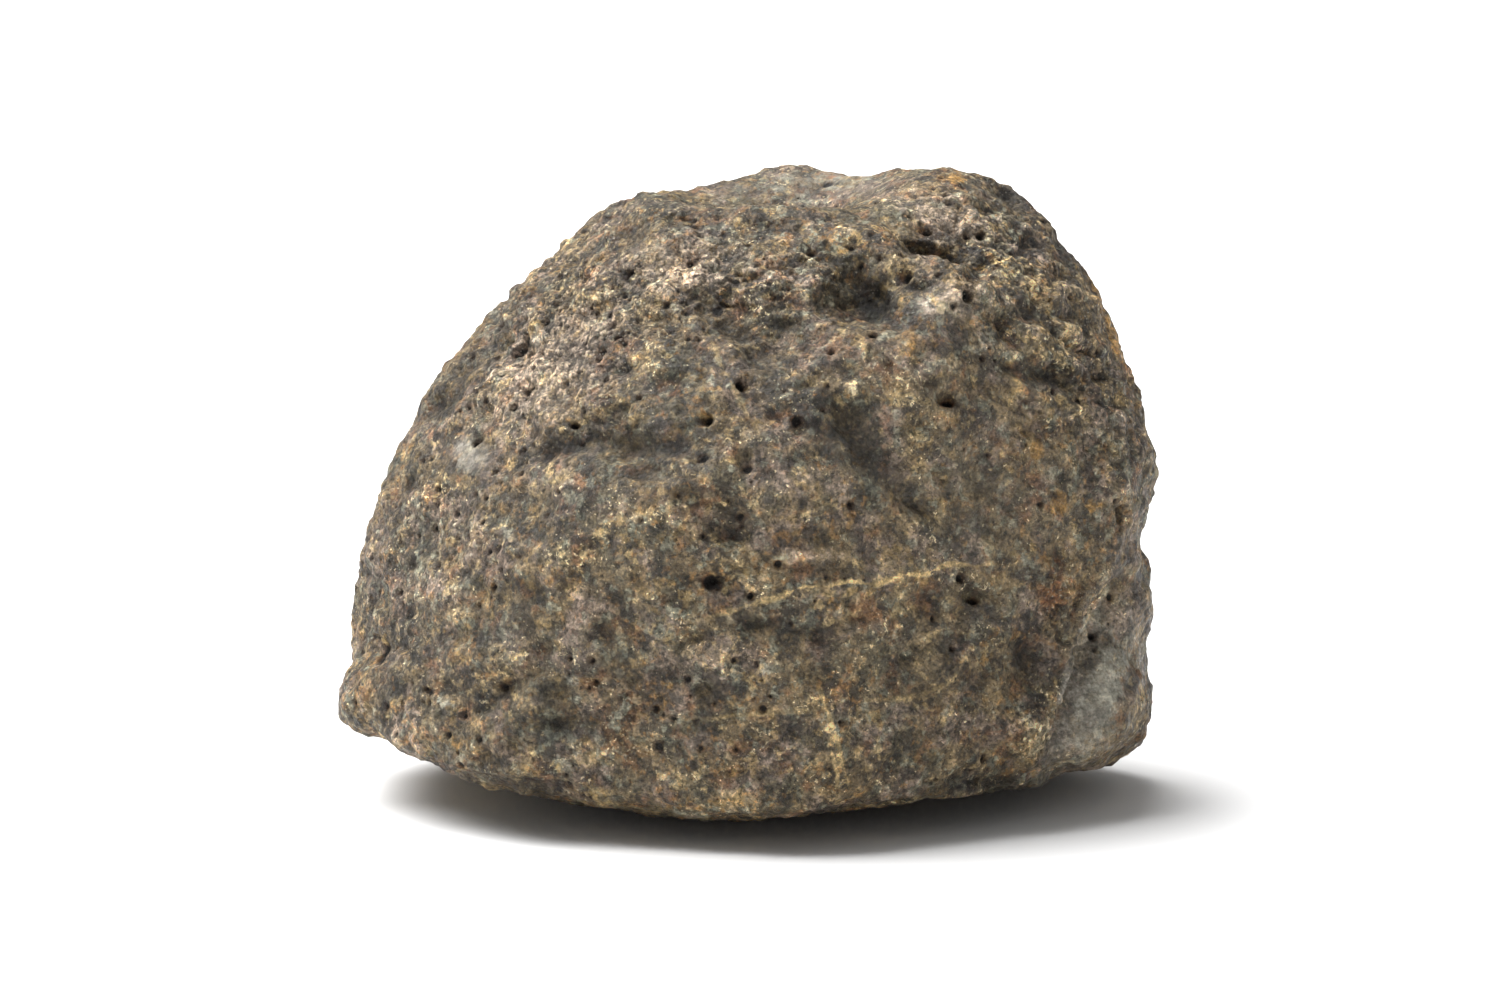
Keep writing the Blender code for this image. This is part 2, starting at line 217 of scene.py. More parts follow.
def numbers(mesh, what):
    """One array of a mesh's points or normals."""
    flat = np.empty(len(mesh.vertices) * 3, np.float32)
    mesh.vertices.foreach_get(what, flat)
    return flat.reshape(-1, 3).astype(np.float64)


def turned(side_on, rise):
    """From 0 to 1 over the skin, by how much it is turned towards the camera."""
    return np.clip(side_on + rise * facing, 0, 1)


def tell(what, values):
    """Prints the lowest and the highest of some numbers."""
    print(what, "from", round(float(values.min()), 2), "to", round(float(values.max()), 2))


points = numbers(net_mesh, "co")
normals = numbers(net_mesh, "normal")
across, up, far = seen(points)
facing = normals @ eye_side
front = turned(*FRONT_FADE)
print("net box in mm:", (points.min(0) / MM).round(2), (points.max(0) / MM).round(2))

# %% [markdown]
# ## Where the stone is rough and where it is smooth
#
# Weather does not treat the stone evenly. The scoop on top, the broken hollow low on the right and
# a few fresh-looking patches are smooth. The crown, the left slope and the right shoulder are
# crumbly. Soft ellipses, placed as the picture shows them, say how rough each region is.

# %% Say how rough each region is
# Each region: mm right and up, half width, half height, turn in degrees, and change in roughness.
ROUGH_REGIONS = (
    (7.0, 63.6, 11.0, 2.2, 4, -0.5),
    (35.6, 11.5, 3.6, 10.0, -19, -0.35),
    (20.0, 50.2, 3.4, 2.4, -30, -0.5),
    (-27.5, 36.3, 2.2, 2.0, 0, -0.6),
    (22.0, 30.0, 13.0, 12.0, 0, -0.2),
    (-18.0, 48.0, 12.0, 8.0, 50, 0.45),
    (0.0, 54.0, 14.0, 5.0, 0, 0.5),
    (26.0, 56.0, 9.0, 6.0, -40, 0.65),
    (36.0, 42.0, 4.0, 8.0, 20, 0.4),
    (-34.0, 22.0, 5.0, 14.0, -10, 0.25),
    (29.0, 8.6, 1.8, 3.6, -20, 0.5),
    (31.4, 22.0, 3.0, 3.5, -10, 0.4),
)
PLAIN_ROUGHNESS = 0.6
LEAST_AND_MOST_ROUGH = (0.15, 1.3)


def ellipse(right, high, half_width, half_height, turn):
    """1 in the middle of an ellipse on the front of the stone, fading to 0 well outside it."""
    c, s = math.cos(math.radians(turn)), math.sin(math.radians(turn))
    x, y = across - right, up - high
    return np.exp(-(((x * c + y * s) / half_width) ** 2 + ((y * c - x * s) / half_height) ** 2))


roughness = np.full(len(points), PLAIN_ROUGHNESS)
for *place, change in ROUGH_REGIONS:
    roughness += change * ellipse(*place) * front
roughness = np.clip(roughness, *LEAST_AND_MOST_ROUGH)
tell("roughness", roughness)

# %% [markdown]
# ## Hollows and swells
#
# Between the big facets and the fine grain lie hollows and swells from one to six millimetres wide.
# They give the front its mottled light and dark, so the ones that can be told apart are listed one
# by one. The same numbers later colour the stone: each hollow is painted darker, partly for dirt and
# partly as painted shade, and each swell paler, partly for wear and partly as painted light. The sides
# that the picture does not show get hollows and swells of the same size from noise.

# %% List the hollows
# Each hollow: mm right and up, half width, half height, turn in degrees, and depth in mm.
CROWN_HOLLOWS = (
    (-13.6, 59.8, 1.8, 0.6, 0, 0.4), (-11.0, 58.4, 1.2, 1.0, 0, 0.5), (-5.8, 60.2, 1.0, 0.4, 0, 0.3),
    (-2.2, 51.3, 1.3, 0.4, 0, 0.5), (-0.6, 48.3, 2.4, 0.8, -18, 0.7), (0.3, 53.8, 1.3, 0.8, 10, 0.6),
    (4.6, 51.2, 1.8, 0.4, 0, 0.4), (4.6, 49.5, 1.4, 0.4, 0, 0.4), (6.6, 43.6, 1.8, 0.6, 8, 0.5),
    (13.5, 56.2, 1.3, 0.5, 0, 0.4), (23.8, 60.9, 2.0, 0.4, -5, 0.4),
)
SHOULDER_HOLLOWS = (
    (12.4, 52.7, 2.9, 1.4, -50, 1.6), (12.4, 50.6, 1.0, 0.8, 0, 0.8), (17.2, 56.8, 1.6, 0.6, 0, 0.6),
    (20.6, 56.2, 2.2, 0.5, -14, 0.6), (22.8, 54.4, 0.7, 0.8, 0, 0.8), (18.0, 53.2, 1.7, 0.5, 5, 0.6),
    (26.9, 62.0, 2.2, 1.0, -27, 1.1), (28.8, 57.4, 2.0, 0.8, -10, 0.8), (27.6, 56.0, 2.2, 0.5, -25, 0.5),
    (32.0, 57.6, 0.8, 2.2, 24, 0.9), (31.4, 54.0, 2.2, 0.8, 0, 0.7), (30.2, 52.4, 1.2, 0.6, -40, 0.4),
    (26.6, 50.2, 2.6, 0.8, 0, 0.6), (32.8, 50.4, 2.2, 0.9, 0, 0.7), (29.4, 44.5, 1.8, 1.0, 0, 0.7),
    (33.0, 43.8, 1.6, 0.8, 10, 0.7), (36.4, 44.2, 1.4, 0.7, 0, 0.5), (36.2, 38.2, 1.4, 1.0, 0, 0.4),
    (38.9, 38.4, 0.7, 1.8, 0, 0.4), (37.0, 35.4, 1.2, 0.5, 0, 0.3), (28.0, 38.5, 1.0, 0.5, 0, 0.3),
)
MIDDLE_HOLLOWS = (
    (9.4, 39.6, 2.3, 1.9, -40, 1.2), (12.4, 36.6, 1.8, 3.2, 35, 1.1), (16.8, 31.6, 2.4, 0.9, -38, 0.9),
    (3.0, 40.2, 1.2, 0.5, -35, 0.4), (1.2, 39.4, 1.0, 0.4, 0, 0.3), (6.0, 39.1, 1.0, 0.4, 0, 0.3),
    (0.0, 36.2, 1.0, 0.6, -50, 0.4), (18.6, 43.6, 1.1, 0.8, 0, 0.6), (14.3, 45.3, 0.7, 0.6, 0, 0.4),
    (17.4, 45.5, 0.6, 0.6, 0, 0.4), (2.0, 26.0, 1.2, 0.4, 0, 0.3), (-1.2, 28.2, 2.2, 0.9, 0, 0.8),
    (-3.4, 23.9, 1.6, 0.5, 0, 0.6), (-7.6, 22.0, 0.8, 0.6, 0, 0.4), (-10.5, 27.8, 0.9, 1.0, 0, 0.3),
)
CHEEK_HOLLOWS = (
    (-16.6, 38.0, 3.0, 1.3, 28, 0.9), (-11.6, 36.9, 2.4, 1.2, 0, 0.6), (-7.0, 37.2, 2.8, 1.4, 10, 0.8),
    (-9.6, 34.6, 2.4, 0.9, 0, 0.7), (-4.6, 36.4, 1.1, 0.6, 0, 0.5), (-21.4, 38.4, 1.0, 0.8, 0, 0.5),
    (-19.8, 36.5, 1.2, 0.8, 20, 0.5), (-12.5, 45.0, 2.4, 0.5, 8, 0.7), (-7.4, 44.0, 1.0, 0.6, 0, 0.5),
    (-12.2, 41.0, 0.8, 0.5, 0, 0.4), (-30.4, 41.2, 3.2, 0.9, 48, 0.8), (-33.8, 33.8, 2.4, 0.6, 68, 0.6),
    (-25.0, 49.6, 0.6, 1.2, 10, 0.4), (-29.0, 44.8, 1.6, 0.5, 20, 0.4), (-25.4, 25.4, 1.2, 0.4, 8, 0.3),
    (-23.0, 26.1, 1.3, 0.4, 15, 0.4), (-20.0, 28.5, 0.6, 1.3, -25, 0.3), (-28.8, 18.2, 2.0, 0.9, 8, 0.6),
    (-34.2, 17.0, 0.9, 0.6, 0, 0.5), (-29.8, 13.0, 1.1, 0.9, 0, 0.5), (-32.0, 12.5, 0.6, 0.9, 0, 0.3),
)
BELLY_HOLLOWS = (
    (-24.6, 12.4, 3.0, 0.8, 40, 0.9), (-20.6, 14.8, 1.4, 0.7, 20, 0.5), (-18.6, 12.2, 1.8, 1.6, 0, 0.5),
    (-18.0, 9.5, 3.4, 1.0, 6, 0.9), (-19.8, 17.0, 0.8, 1.0, 0, 0.5), (-14.0, 18.8, 0.8, 1.4, 0, 0.5),
    (-11.2, 13.8, 1.1, 0.5, 15, 0.4), (-6.6, 14.2, 1.3, 0.6, 0, 0.4), (-5.0, 17.8, 2.4, 0.8, 22, 0.8),
    (-9.0, 6.3, 0.8, 0.4, 0, 0.3), (-23.4, 7.0, 1.0, 0.6, 0, 0.4), (1.6, 19.2, 1.8, 0.6, 0, 0.5),
    (3.5, 18.2, 1.3, 1.0, 0, 0.6), (7.0, 18.0, 1.2, 0.9, 0, 0.6), (11.0, 18.2, 0.8, 0.3, 0, 0.3),
    (18.3, 21.4, 1.1, 1.6, 0, 0.6), (16.9, 17.5, 0.5, 0.7, 0, 0.3), (23.5, 22.3, 1.4, 0.5, 0, 0.6),
    (28.6, 15.8, 1.6, 3.0, 5, 1.0), (31.7, 17.8, 0.7, 0.9, 0, 0.4), (20.6, 8.6, 2.6, 0.5, 0, 0.3),
    (5.0, 8.4, 0.5, 1.3, 0, 0.3), (39.6, 9.3, 0.8, 0.6, 0, 0.3), (19.6, 2.7, 2.4, 0.8, 14, 0.6),
    (24.5, 3.3, 2.4, 0.8, 8, 0.6), (-26.0, 3.6, 6.0, 0.8, -10, 0.6), (-19.0, 2.9, 4.0, 0.9, -3, 0.6),
)
HOLLOWS = CROWN_HOLLOWS + SHOULDER_HOLLOWS + MIDDLE_HOLLOWS + CHEEK_HOLLOWS + BELLY_HOLLOWS
print(len(HOLLOWS), "hollows placed by hand")

# %% List the swells
# Each swell: mm right and up, half width, half height, turn in degrees, and height in mm.
# The wide swells are low; through the stored shade they mostly paint the crown, the left slope and edge, the
# right shoulder, the broken hollow and the bottom edge lighter: painted light.
WIDE_SWELLS = (
    (-2.0, 57.0, 16.0, 4.5, 0, 0.19), (-20.0, 46.0, 9.0, 7.0, 45, 0.1), (20.0, 60.0, 8.0, 3.0, -20, 0.24),
    (27.0, 55.0, 6.0, 5.0, -40, 0.2), (-33.0, 24.0, 5.0, 12.0, -10, 0.08), (35.4, 12.0, 2.6, 7.0, -19, 0.15),
    (0.0, 2.4, 12.0, 1.6, 0, 0.2), (-32.0, 9.0, 6.0, 2.0, -15, 0.12),
)
UPPER_SWELLS = (
    (20.4, 51.2, 3.0, 1.4, -5, 0.7), (21.4, 53.0, 1.2, 0.7, -40, 0.4), (26.5, 52.7, 1.7, 1.3, 0, 0.5),
    (22.7, 58.6, 1.5, 1.0, 0, 0.4), (7.5, 54.0, 1.7, 0.7, 25, 0.4), (5.7, 52.4, 0.8, 0.4, 0, 0.2),
    (16.3, 46.4, 0.7, 0.9, -30, 0.4), (17.8, 47.7, 1.0, 0.6, 0, 0.3), (24.2, 46.8, 2.2, 0.6, -10, 0.3),
    (27.6, 46.7, 1.0, 0.8, 0, 0.3), (26.9, 43.6, 1.3, 0.6, -42, 0.3), (29.4, 41.9, 1.6, 0.6, -12, 0.4),
    (33.2, 40.9, 2.1, 0.6, -4, 0.5), (10.8, 42.6, 0.9, 1.3, 20, 0.5), (2.4, 42.3, 2.3, 0.7, -10, 0.3),
    (34.6, 51.6, 0.9, 0.5, -20, 0.3), (31.5, 48.2, 1.6, 0.6, 0, 0.3), (35.3, 45.9, 1.2, 0.4, -8, 0.3),
    (14.0, 61.3, 1.1, 0.6, 0, 0.2), (11.5, 58.4, 3.4, 0.6, 8, 0.3), (20.6, 41.0, 0.9, 0.5, 0, 0.3),
    (-15.0, 52.0, 1.9, 0.8, 0, 0.4), (-11.5, 50.2, 1.9, 0.5, 10, 0.3), (-9.2, 45.0, 1.7, 0.8, 10, 0.3),
    (-22.2, 43.2, 3.6, 2.0, 35, 0.3), (-2.2, 39.6, 0.8, 0.7, 0, 0.4), (-1.5, 36.8, 0.6, 1.9, 0, 0.4),
    (-1.0, 43.0, 1.5, 0.7, 0, 0.2), (-3.2, 49.0, 0.5, 1.6, 8, 0.2), (11.0, 47.0, 2.0, 1.0, 0, 0.2),
)
LOWER_SWELLS = (
    (-3.0, 33.8, 1.8, 0.9, 0, 0.4), (14.2, 37.5, 0.9, 0.8, 0, 0.4), (16.0, 36.8, 0.9, 0.6, 0, 0.3),
    (16.4, 34.3, 1.1, 0.6, 0, 0.3), (5.5, 33.5, 3.5, 1.8, 0, 0.2), (-28.4, 22.0, 0.6, 1.3, 30, 0.3),
    (-32.9, 24.3, 0.6, 0.6, 0, 0.3), (-18.4, 22.0, 2.6, 1.0, 26, 0.4), (-17.6, 27.0, 1.6, 1.5, 0, 0.3),
    (-13.6, 26.2, 1.3, 0.7, 0, 0.3), (-11.5, 29.5, 0.8, 0.7, 0, 0.3), (-6.0, 19.6, 1.2, 0.8, 0, 0.3),
    (-2.6, 16.4, 1.8, 1.1, 0, 0.4), (-0.1, 17.5, 0.8, 0.8, 0, 0.3), (-16.8, 14.8, 1.1, 0.6, 0, 0.3),
    (-23.0, 15.8, 1.3, 1.0, 0, 0.3), (-22.7, 11.0, 1.4, 1.0, 0, 0.3), (-34.0, 7.8, 1.6, 0.8, -20, 0.4),
    (-30.8, 8.4, 1.6, 1.0, 0, 0.4), (-28.0, 9.2, 1.8, 0.9, 0, 0.3), (-38.0, 12.8, 1.0, 2.0, 0, 0.3),
    (-13.3, 7.4, 1.3, 0.5, 0, 0.3), (-8.3, 8.3, 1.0, 0.6, 0, 0.3), (-4.0, 8.5, 1.1, 0.7, 0, 0.3),
    (-13.0, 2.6, 1.4, 0.5, 0, 0.3), (-2.0, 1.8, 2.2, 1.2, 0, 0.3), (1.2, 28.5, 1.3, 0.8, -35, 0.4),
    (7.0, 26.2, 3.3, 0.6, 0, 0.4), (2.5, 32.0, 1.3, 0.7, 0, 0.2), (12.8, 30.5, 0.9, 0.6, 0, 0.3),
    (17.2, 28.6, 1.1, 0.7, 30, 0.3), (6.1, 22.6, 1.0, 0.7, 35, 0.3), (9.8, 20.9, 0.9, 0.7, 0, 0.3),
    (3.3, 15.3, 1.4, 0.9, 0, 0.4), (8.0, 12.2, 2.0, 1.4, 0, 0.3), (8.9, 8.4, 0.8, 2.6, 12, 0.3),
    (24.5, 13.0, 1.3, 0.5, 30, 0.2), (25.7, 17.5, 0.5, 1.1, 0, 0.2), (21.6, 19.6, 1.5, 0.7, 0, 0.2),
    (28.6, 8.6, 2.2, 1.2, 35, 0.3), (34.1, 19.8, 0.6, 2.4, -20, 0.4), (31.8, 11.5, 0.9, 2.6, -25, 0.2),
    (36.8, 11.6, 1.3, 0.9, 0, 0.3), (16.8, 4.0, 1.4, 0.8, 20, 0.2), (11.5, 3.0, 0.9, 0.5, 0, 0.2),
)
SWELLS = WIDE_SWELLS + UPPER_SWELLS + LOWER_SWELLS
print(len(SWELLS), "swells placed by hand")

# %% [markdown]
# ## The uneven skin
#
# Over the hollows and swells lie three finer kinds of relief. Billows are round lumps with sharp
# valleys between them, like grains that stand proud of a worn matrix. Plain noise adds unevenness
# with no pattern. Layers are noise stretched sideways: the short ledges of the crown, which are
# level on the left and bend down on the right shoulder.

# %% Two kinds of noise
# How fast the octaves of noise grow weaker, and how much finer each is than the one before.
OCTAVE_FALL = 0.8
OCTAVE_STEP = 2.1


def fractal(size, octaves, stretch=(1, 1, 1), shift=0.0, lift=0.0):
    """Plain noise with lumps of about the given size in mm, from about -1 to 1."""
    scaled = points / MM
    scaled[:, 2] += lift
    scaled = scaled / size / np.array(stretch) + shift
    return np.array([noise.fractal(Vector(p), OCTAVE_FALL, OCTAVE_STEP, octaves) for p in scaled])


def billows(size, octaves, shift=0.0):
    """Round lumps of about the given size in mm, from 0 in the valleys to about 1."""
    scaled = points / (size * MM) + shift
    return np.array([noise.turbulence(Vector(p), octaves, True) for p in scaled])


# %% Raise lumps, grains and layers
# Sizes and heights are in mm. To the right of DROOP_FROM the layers bend down.
LUMP_SIZE = 4.5
LUMP_HEIGHT = 0.5
GRAIN_SIZE = 2.2
GRAIN_HEIGHT = 0.75
LAYER_SIZE = 3.2
LAYER_HEIGHT = 0.15
CROWN_LAYER_HEIGHT = 0.4
DROOP_FROM = 6.0
DROOP = 0.016
LAYER_STRETCH = (2.4, 2.4, 0.8)
LAYER_STEEPNESS = 5
# Where the layers stand out: mm right and up, half width, half height, and turn in degrees.
CROWN = ((2, 52, 26, 9, -4), (31, 44, 8, 8, 0))
# Each noise has a shift of its own, so that no two line up.
lumps = fractal(LUMP_SIZE, 3, shift=3.1)
grains = billows(GRAIN_SIZE, 4, shift=11.7)
droop = DROOP * np.clip(points[:, 0] / MM - DROOP_FROM, 0, None) ** 2
layers = fractal(LAYER_SIZE, 3, stretch=LAYER_STRETCH, shift=23.9, lift=droop)
steps = np.tanh(layers * LAYER_STEEPNESS) / 2
crown = np.clip(sum(ellipse(*place) for place in CROWN), 0, 1) * front
grain_relief = roughness * (
    LUMP_HEIGHT * lumps
    + GRAIN_HEIGHT * (grains - grains.mean())
    + (LAYER_HEIGHT + CROWN_LAYER_HEIGHT * crown) * steps
)
tell("fine relief in mm,", grain_relief)

# %% Raise the swells and sink the hollows
# How the placed forms fade out towards the sides, and the unseen ones fade in.
FORM_FADE = (0.6, 2.5)
UNSEEN_FADE = (-0.1, -2)
UNSEEN_SIZE = 5.0
UNSEEN_DEPTH = 0.8
form_relief = np.zeros(len(points))
for *place, depth in HOLLOWS:
    form_relief -= depth * ellipse(*place)
for *place, height in SWELLS:
    form_relief += height * ellipse(*place)
form_relief *= turned(*FORM_FADE)
form_relief += UNSEEN_DEPTH * fractal(UNSEEN_SIZE, 3, shift=61.3) * turned(*UNSEEN_FADE)
relief = grain_relief + form_relief
tell("hollows and swells in mm,", form_relief)

# %% [markdown]
# ## Ledges and cracks
#
# A few steps and cracks on the front can be told apart, so each has its own short path, given as
# the picture shows it. The stone stands proud on the left of a ledge's path as it runs, and drops
# on its right. A crack is a narrow groove along its path.

# %% Cut ledges and cracks
# Each ledge: height in mm, reach in mm, and points in mm right and up.
LEDGES = (
    (0.6, 1.6, ((24.5, 51.8), (21.8, 55.8), (16.4, 56.6), (12.4, 57.2))),
    (0.7, 1.2, ((14.5, 53.2), (11.8, 51.6), (9.5, 50.4))),
    (0.7, 1.4, ((1.4, 53.6), (-0.8, 54.3), (-3.6, 54.2))),
    (0.6, 1.2, ((-0.6, 51.0), (-3.0, 51.6), (-6.0, 51.4))),
    (0.8, 1.6, ((4.6, 47.0), (1.0, 48.0), (-2.4, 48.6))),
    (0.7, 1.4, ((12.0, 56.8), (8.2, 57.6), (4.6, 56.8))),
    (0.6, 1.3, ((36.6, 46.6), (32.4, 49.2), (28.4, 51.0))),
    (0.6, 1.6, ((36.5, 40.4), (31.6, 42.6), (26.5, 45.4))),
    (0.6, 1.4, ((34.6, 51.4), (30.4, 54.0), (26.4, 55.6))),
    (0.8, 1.3, ((29.0, 62.0), (26.5, 61.6), (24.0, 62.4))),
    (0.5, 1.4, ((-11.0, 38.0), (-14.0, 39.4), (-17.5, 39.0))),
    (0.5, 1.6, ((-0.4, 30.0), (-3.0, 31.2), (-6.5, 30.8))),
    (0.5, 1.6, ((2.0, 24.0), (-1.6, 25.0), (-5.0, 24.2))),
    (0.6, 1.8, ((27.5, 1.8), (22.0, 3.2), (16.0, 3.4))),
    (
        0.8,
        3.0,
        ((28.0, 4.0), (30.3, 7.8), (31.4, 11.4), (31.8, 14.6), (33.6, 19.0), (36.0, 23.0), (38.6, 26.0)),
    ),
)
# Each crack: depth in mm, half width in mm, and points in mm right and up.
CRACKS = (
    (1.5, 0.34, ((30.6, 48.6), (32.3, 47.8), (33.6, 47.2), (35.0, 46.4), (37.0, 45.4))),
    (0.4, 0.25, ((-37.8, 14.4), (-38.9, 11.6), (-39.6, 10.0))),
    (0.4, 0.25, ((-36.6, 14.8), (-37.6, 12.0), (-38.2, 9.6))),
    (0.5, 0.3, ((17.0, 56.6), (20.5, 55.9), (23.4, 53.0), (24.2, 50.4))),
)
LEDGE_STEP = 0.22
WOBBLE_SIZE = 1.6
WOBBLE = 0.5
CRACK_WOBBLE = 0.5


def off_path(path):
    """Distance in mm from a path, positive on its left, and a fade to 0 at its two ends."""
    nearest = np.full(len(points), np.inf)
    side = np.zeros(len(points))
    share = np.zeros(len(points))
    for i, ((x0, y0), (x1, y1)) in enumerate(zip(path, path[1:])):
        length = math.hypot(x1 - x0, y1 - y0)
        tx, ty = (x1 - x0) / length, (y1 - y0) / length
        t = np.clip((across - x0) * tx + (up - y0) * ty, 0, length)
        gap = np.hypot(across - x0 - t * tx, up - y0 - t * ty)
        closer = gap < nearest
        nearest = np.where(closer, gap, nearest)
        side = np.where(closer, np.sign((up - y0) * tx - (across - x0) * ty), side)
        share = np.where(closer, (i + t / length) / (len(path) - 1), share)
    return nearest * side, np.clip(4 * share * (1 - share), 0, 1) ** 0.5


# Half of a ledge's height stands above the skin, and half is cut below it.
wobble = fractal(WOBBLE_SIZE, 2, shift=31.3) * WOBBLE
for height, reach, path in LEDGES:
    side, fade = off_path(path)
    step = np.tanh((side + wobble) / LEDGE_STEP) * np.exp(-np.abs(side) / reach)
    relief += height / 2 * step * fade * front
for depth, half_width, path in CRACKS:
    side, fade = off_path(path)
    groove = np.exp(-(((side + wobble * CRACK_WOBBLE) / half_width) ** 2))
    relief -= depth * groove * fade * front
tell("relief with ledges in mm,", relief)

# %% Move the skin by its relief
# Below this many mm the relief fades out, so the stone still stands on its flat spot.
KEEP_FLAT = 0.6
ground = np.clip(points[:, 2] / MM / KEEP_FLAT, 0, 1)
relief *= ground
points += normals * (relief * MM)[:, None]
points[:, 2] = np.maximum(points[:, 2], 0)

# %% [markdown]
# ## Pits
#
# Where a chondrule or a soft grain has dropped out, it leaves a round pit, mostly under 1 mm wide.
# The pits that can be told apart are listed one by one. Many smaller ones are scattered with a fixed
# seed, most of them in the crumbly regions, so the stone is the same each time.

# %% List the pits that can be told apart
# Each pit: mm right and up, radius and depth in mm.
PITS = (
    (0.0, 43.5, 0.45, 0.8), (-4.3, 39.9, 0.42, 0.8), (-16.7, 39.6, 0.34, 0.6), (20.3, 41.9, 0.45, 0.8),
    (22.8, 22.2, 0.42, 0.8), (37.7, 30.3, 0.5, 0.9), (16.2, 56.9, 0.6, 1.1), (13.0, 62.1, 0.45, 0.7),
    (18.2, 59.0, 0.42, 0.8), (23.6, 58.9, 0.45, 0.8), (16.9, 60.6, 0.34, 0.6), (18.6, 63.4, 0.22, 0.4),
    (16.7, 62.6, 0.22, 0.4), (15.5, 54.2, 0.5, 0.8), (23.0, 52.1, 0.55, 1.0), (21.2, 51.4, 0.3, 0.5),
    (33.8, 41.9, 0.36, 0.6), (5.4, 39.1, 0.5, 0.7), (12.9, 48.7, 0.3, 0.5), (8.5, 47.1, 0.28, 0.5),
    (1.8, 59.6, 0.22, 0.4), (5.5, 62.6, 0.2, 0.3), (8.2, 64.0, 0.5, 0.4), (-0.6, 54.1, 0.4, 0.6),
    (2.3, 54.2, 0.35, 0.5), (6.7, 57.0, 0.4, 0.6), (10.7, 57.6, 0.35, 0.5), (20.2, 62.1, 0.3, 0.5),
    (22.0, 63.5, 0.4, 0.5), (21.8, 58.5, 0.24, 0.4), (38.7, 39.0, 0.3, 0.5), (31.3, 42.6, 0.24, 0.4),
    (-15.0, 56.3, 0.32, 0.5), (-12.1, 54.6, 0.32, 0.5), (-6.6, 57.2, 0.22, 0.4), (-5.6, 55.8, 0.22, 0.4),
    (-13.6, 49.8, 0.28, 0.5), (-2.9, 60.5, 0.24, 0.4), (-5.3, 60.1, 0.26, 0.5), (-5.8, 60.3, 0.26, 0.5),
    (-4.9, 59.6, 0.26, 0.5), (-10.8, 55.8, 0.24, 0.4), (-18.0, 52.5, 0.26, 0.4), (-14.6, 47.0, 0.34, 0.5),
    (-11.1, 42.1, 0.24, 0.4), (-18.3, 43.6, 0.24, 0.4), (-2.7, 51.3, 0.5, 0.5), (-4.5, 36.2, 0.5, 0.5),
    (0.2, 35.5, 0.45, 0.6), (-23.0, 47.1, 0.5, 0.9), (-23.6, 46.5, 0.35, 0.6), (-22.4, 47.6, 0.35, 0.6),
    (-24.8, 46.5, 0.26, 0.4), (-21.8, 46.7, 0.28, 0.5), (-20.7, 47.8, 0.3, 0.5), (-27.6, 46.4, 0.26, 0.5),
    (-27.4, 43.1, 0.3, 0.5), (-26.3, 42.0, 0.24, 0.4), (-23.6, 41.3, 0.32, 0.5), (-24.2, 44.8, 0.24, 0.4),
    (-27.0, 37.9, 0.4, 0.6), (-29.4, 35.8, 0.24, 0.4), (-31.7, 36.4, 0.24, 0.4), (-32.7, 35.6, 0.24, 0.4),
    (-22.6, 36.9, 0.24, 0.4), (-24.9, 33.8, 0.24, 0.4), (-27.4, 32.6, 0.34, 0.5), (-26.3, 32.3, 0.26, 0.4),
    (-25.1, 35.0, 0.22, 0.4), (-31.1, 32.6, 0.26, 0.4), (-31.2, 31.6, 0.26, 0.4), (-31.6, 28.9, 0.3, 0.5),
    (-28.2, 28.2, 0.26, 0.4), (-28.2, 29.0, 0.22, 0.3), (-29.2, 28.1, 0.22, 0.3), (-26.8, 29.8, 0.24, 0.4),
    (-26.0, 26.8, 0.26, 0.4), (-25.1, 26.9, 0.22, 0.3), (-31.2, 25.1, 0.28, 0.4), (-35.1, 22.6, 0.28, 0.4),
    (-37.8, 21.8, 0.24, 0.4), (-36.6, 16.8, 0.75, 1.0), (-38.8, 16.8, 0.3, 0.5), (-22.7, 34.8, 0.24, 0.4),
    (-29.3, 30.5, 0.24, 0.4), (-9.1, 6.6, 0.4, 0.5), (-3.5, 23.8, 0.6, 0.6), (3.8, 25.2, 0.35, 0.6),
    (10.9, 30.9, 0.28, 0.5), (29.9, 31.6, 0.24, 0.4), (37.0, 22.3, 0.3, 0.5), (35.1, 18.4, 0.34, 0.5),
    (21.2, 17.1, 0.26, 0.4), (35.3, 17.1, 0.24, 0.4), (-24.5, 57.0, 0.22, 0.3), (12.5, 59.0, 0.26, 0.4),
)

# %% Scatter the rest
PIT_GROWTH = 1.25
SEEN_WITHIN = NET * 2 / MM
SCATTERED = 1000
SCATTERED_RADII = (0.16, 0.42)
SCATTERED_DEPTHS = (1.1, 1.8)
MOSTLY_SMALL = 2.5
# Pits are the likelier the further the roughness, with patches of its own, is above CRUMBLY_FROM.
CRUMBLY_FROM = 0.4
CRUMBLY_PATCHES = 0.9
PATCH_SIZE = 9.0
LEAST_LIKELY = 0.02


def seen_at(right, high):
    """The nearest point of the skin that the camera sees at a place in the picture."""
    gap = np.hypot(across - right, up - high)
    near = np.flatnonzero((gap < SEEN_WITHIN) & (facing > 0))
    return near[far[near].argmin()] if len(near) else gap.argmin()


across, up, far = seen(points)
pits = []
for right, high, radius, depth in PITS:
    pits.append((seen_at(right, high), PIT_GROWTH * radius, PIT_GROWTH * depth))
patches = fractal(PATCH_SIZE, 2, shift=47.0) * CRUMBLY_PATCHES
likely = np.clip(roughness - CRUMBLY_FROM + patches, LEAST_LIKELY, None) ** 2 * ground
draw = np.random.default_rng(5)
for i in draw.choice(len(points), SCATTERED, replace=False, p=likely / likely.sum()):
    radius = SCATTERED_RADII[0] + np.ptp(SCATTERED_RADII) * draw.random() ** MOSTLY_SMALL
    pits.append((i, radius, radius * draw.uniform(*SCATTERED_DEPTHS)))
print(len(PITS), "pits placed by hand and", SCATTERED, "scattered")

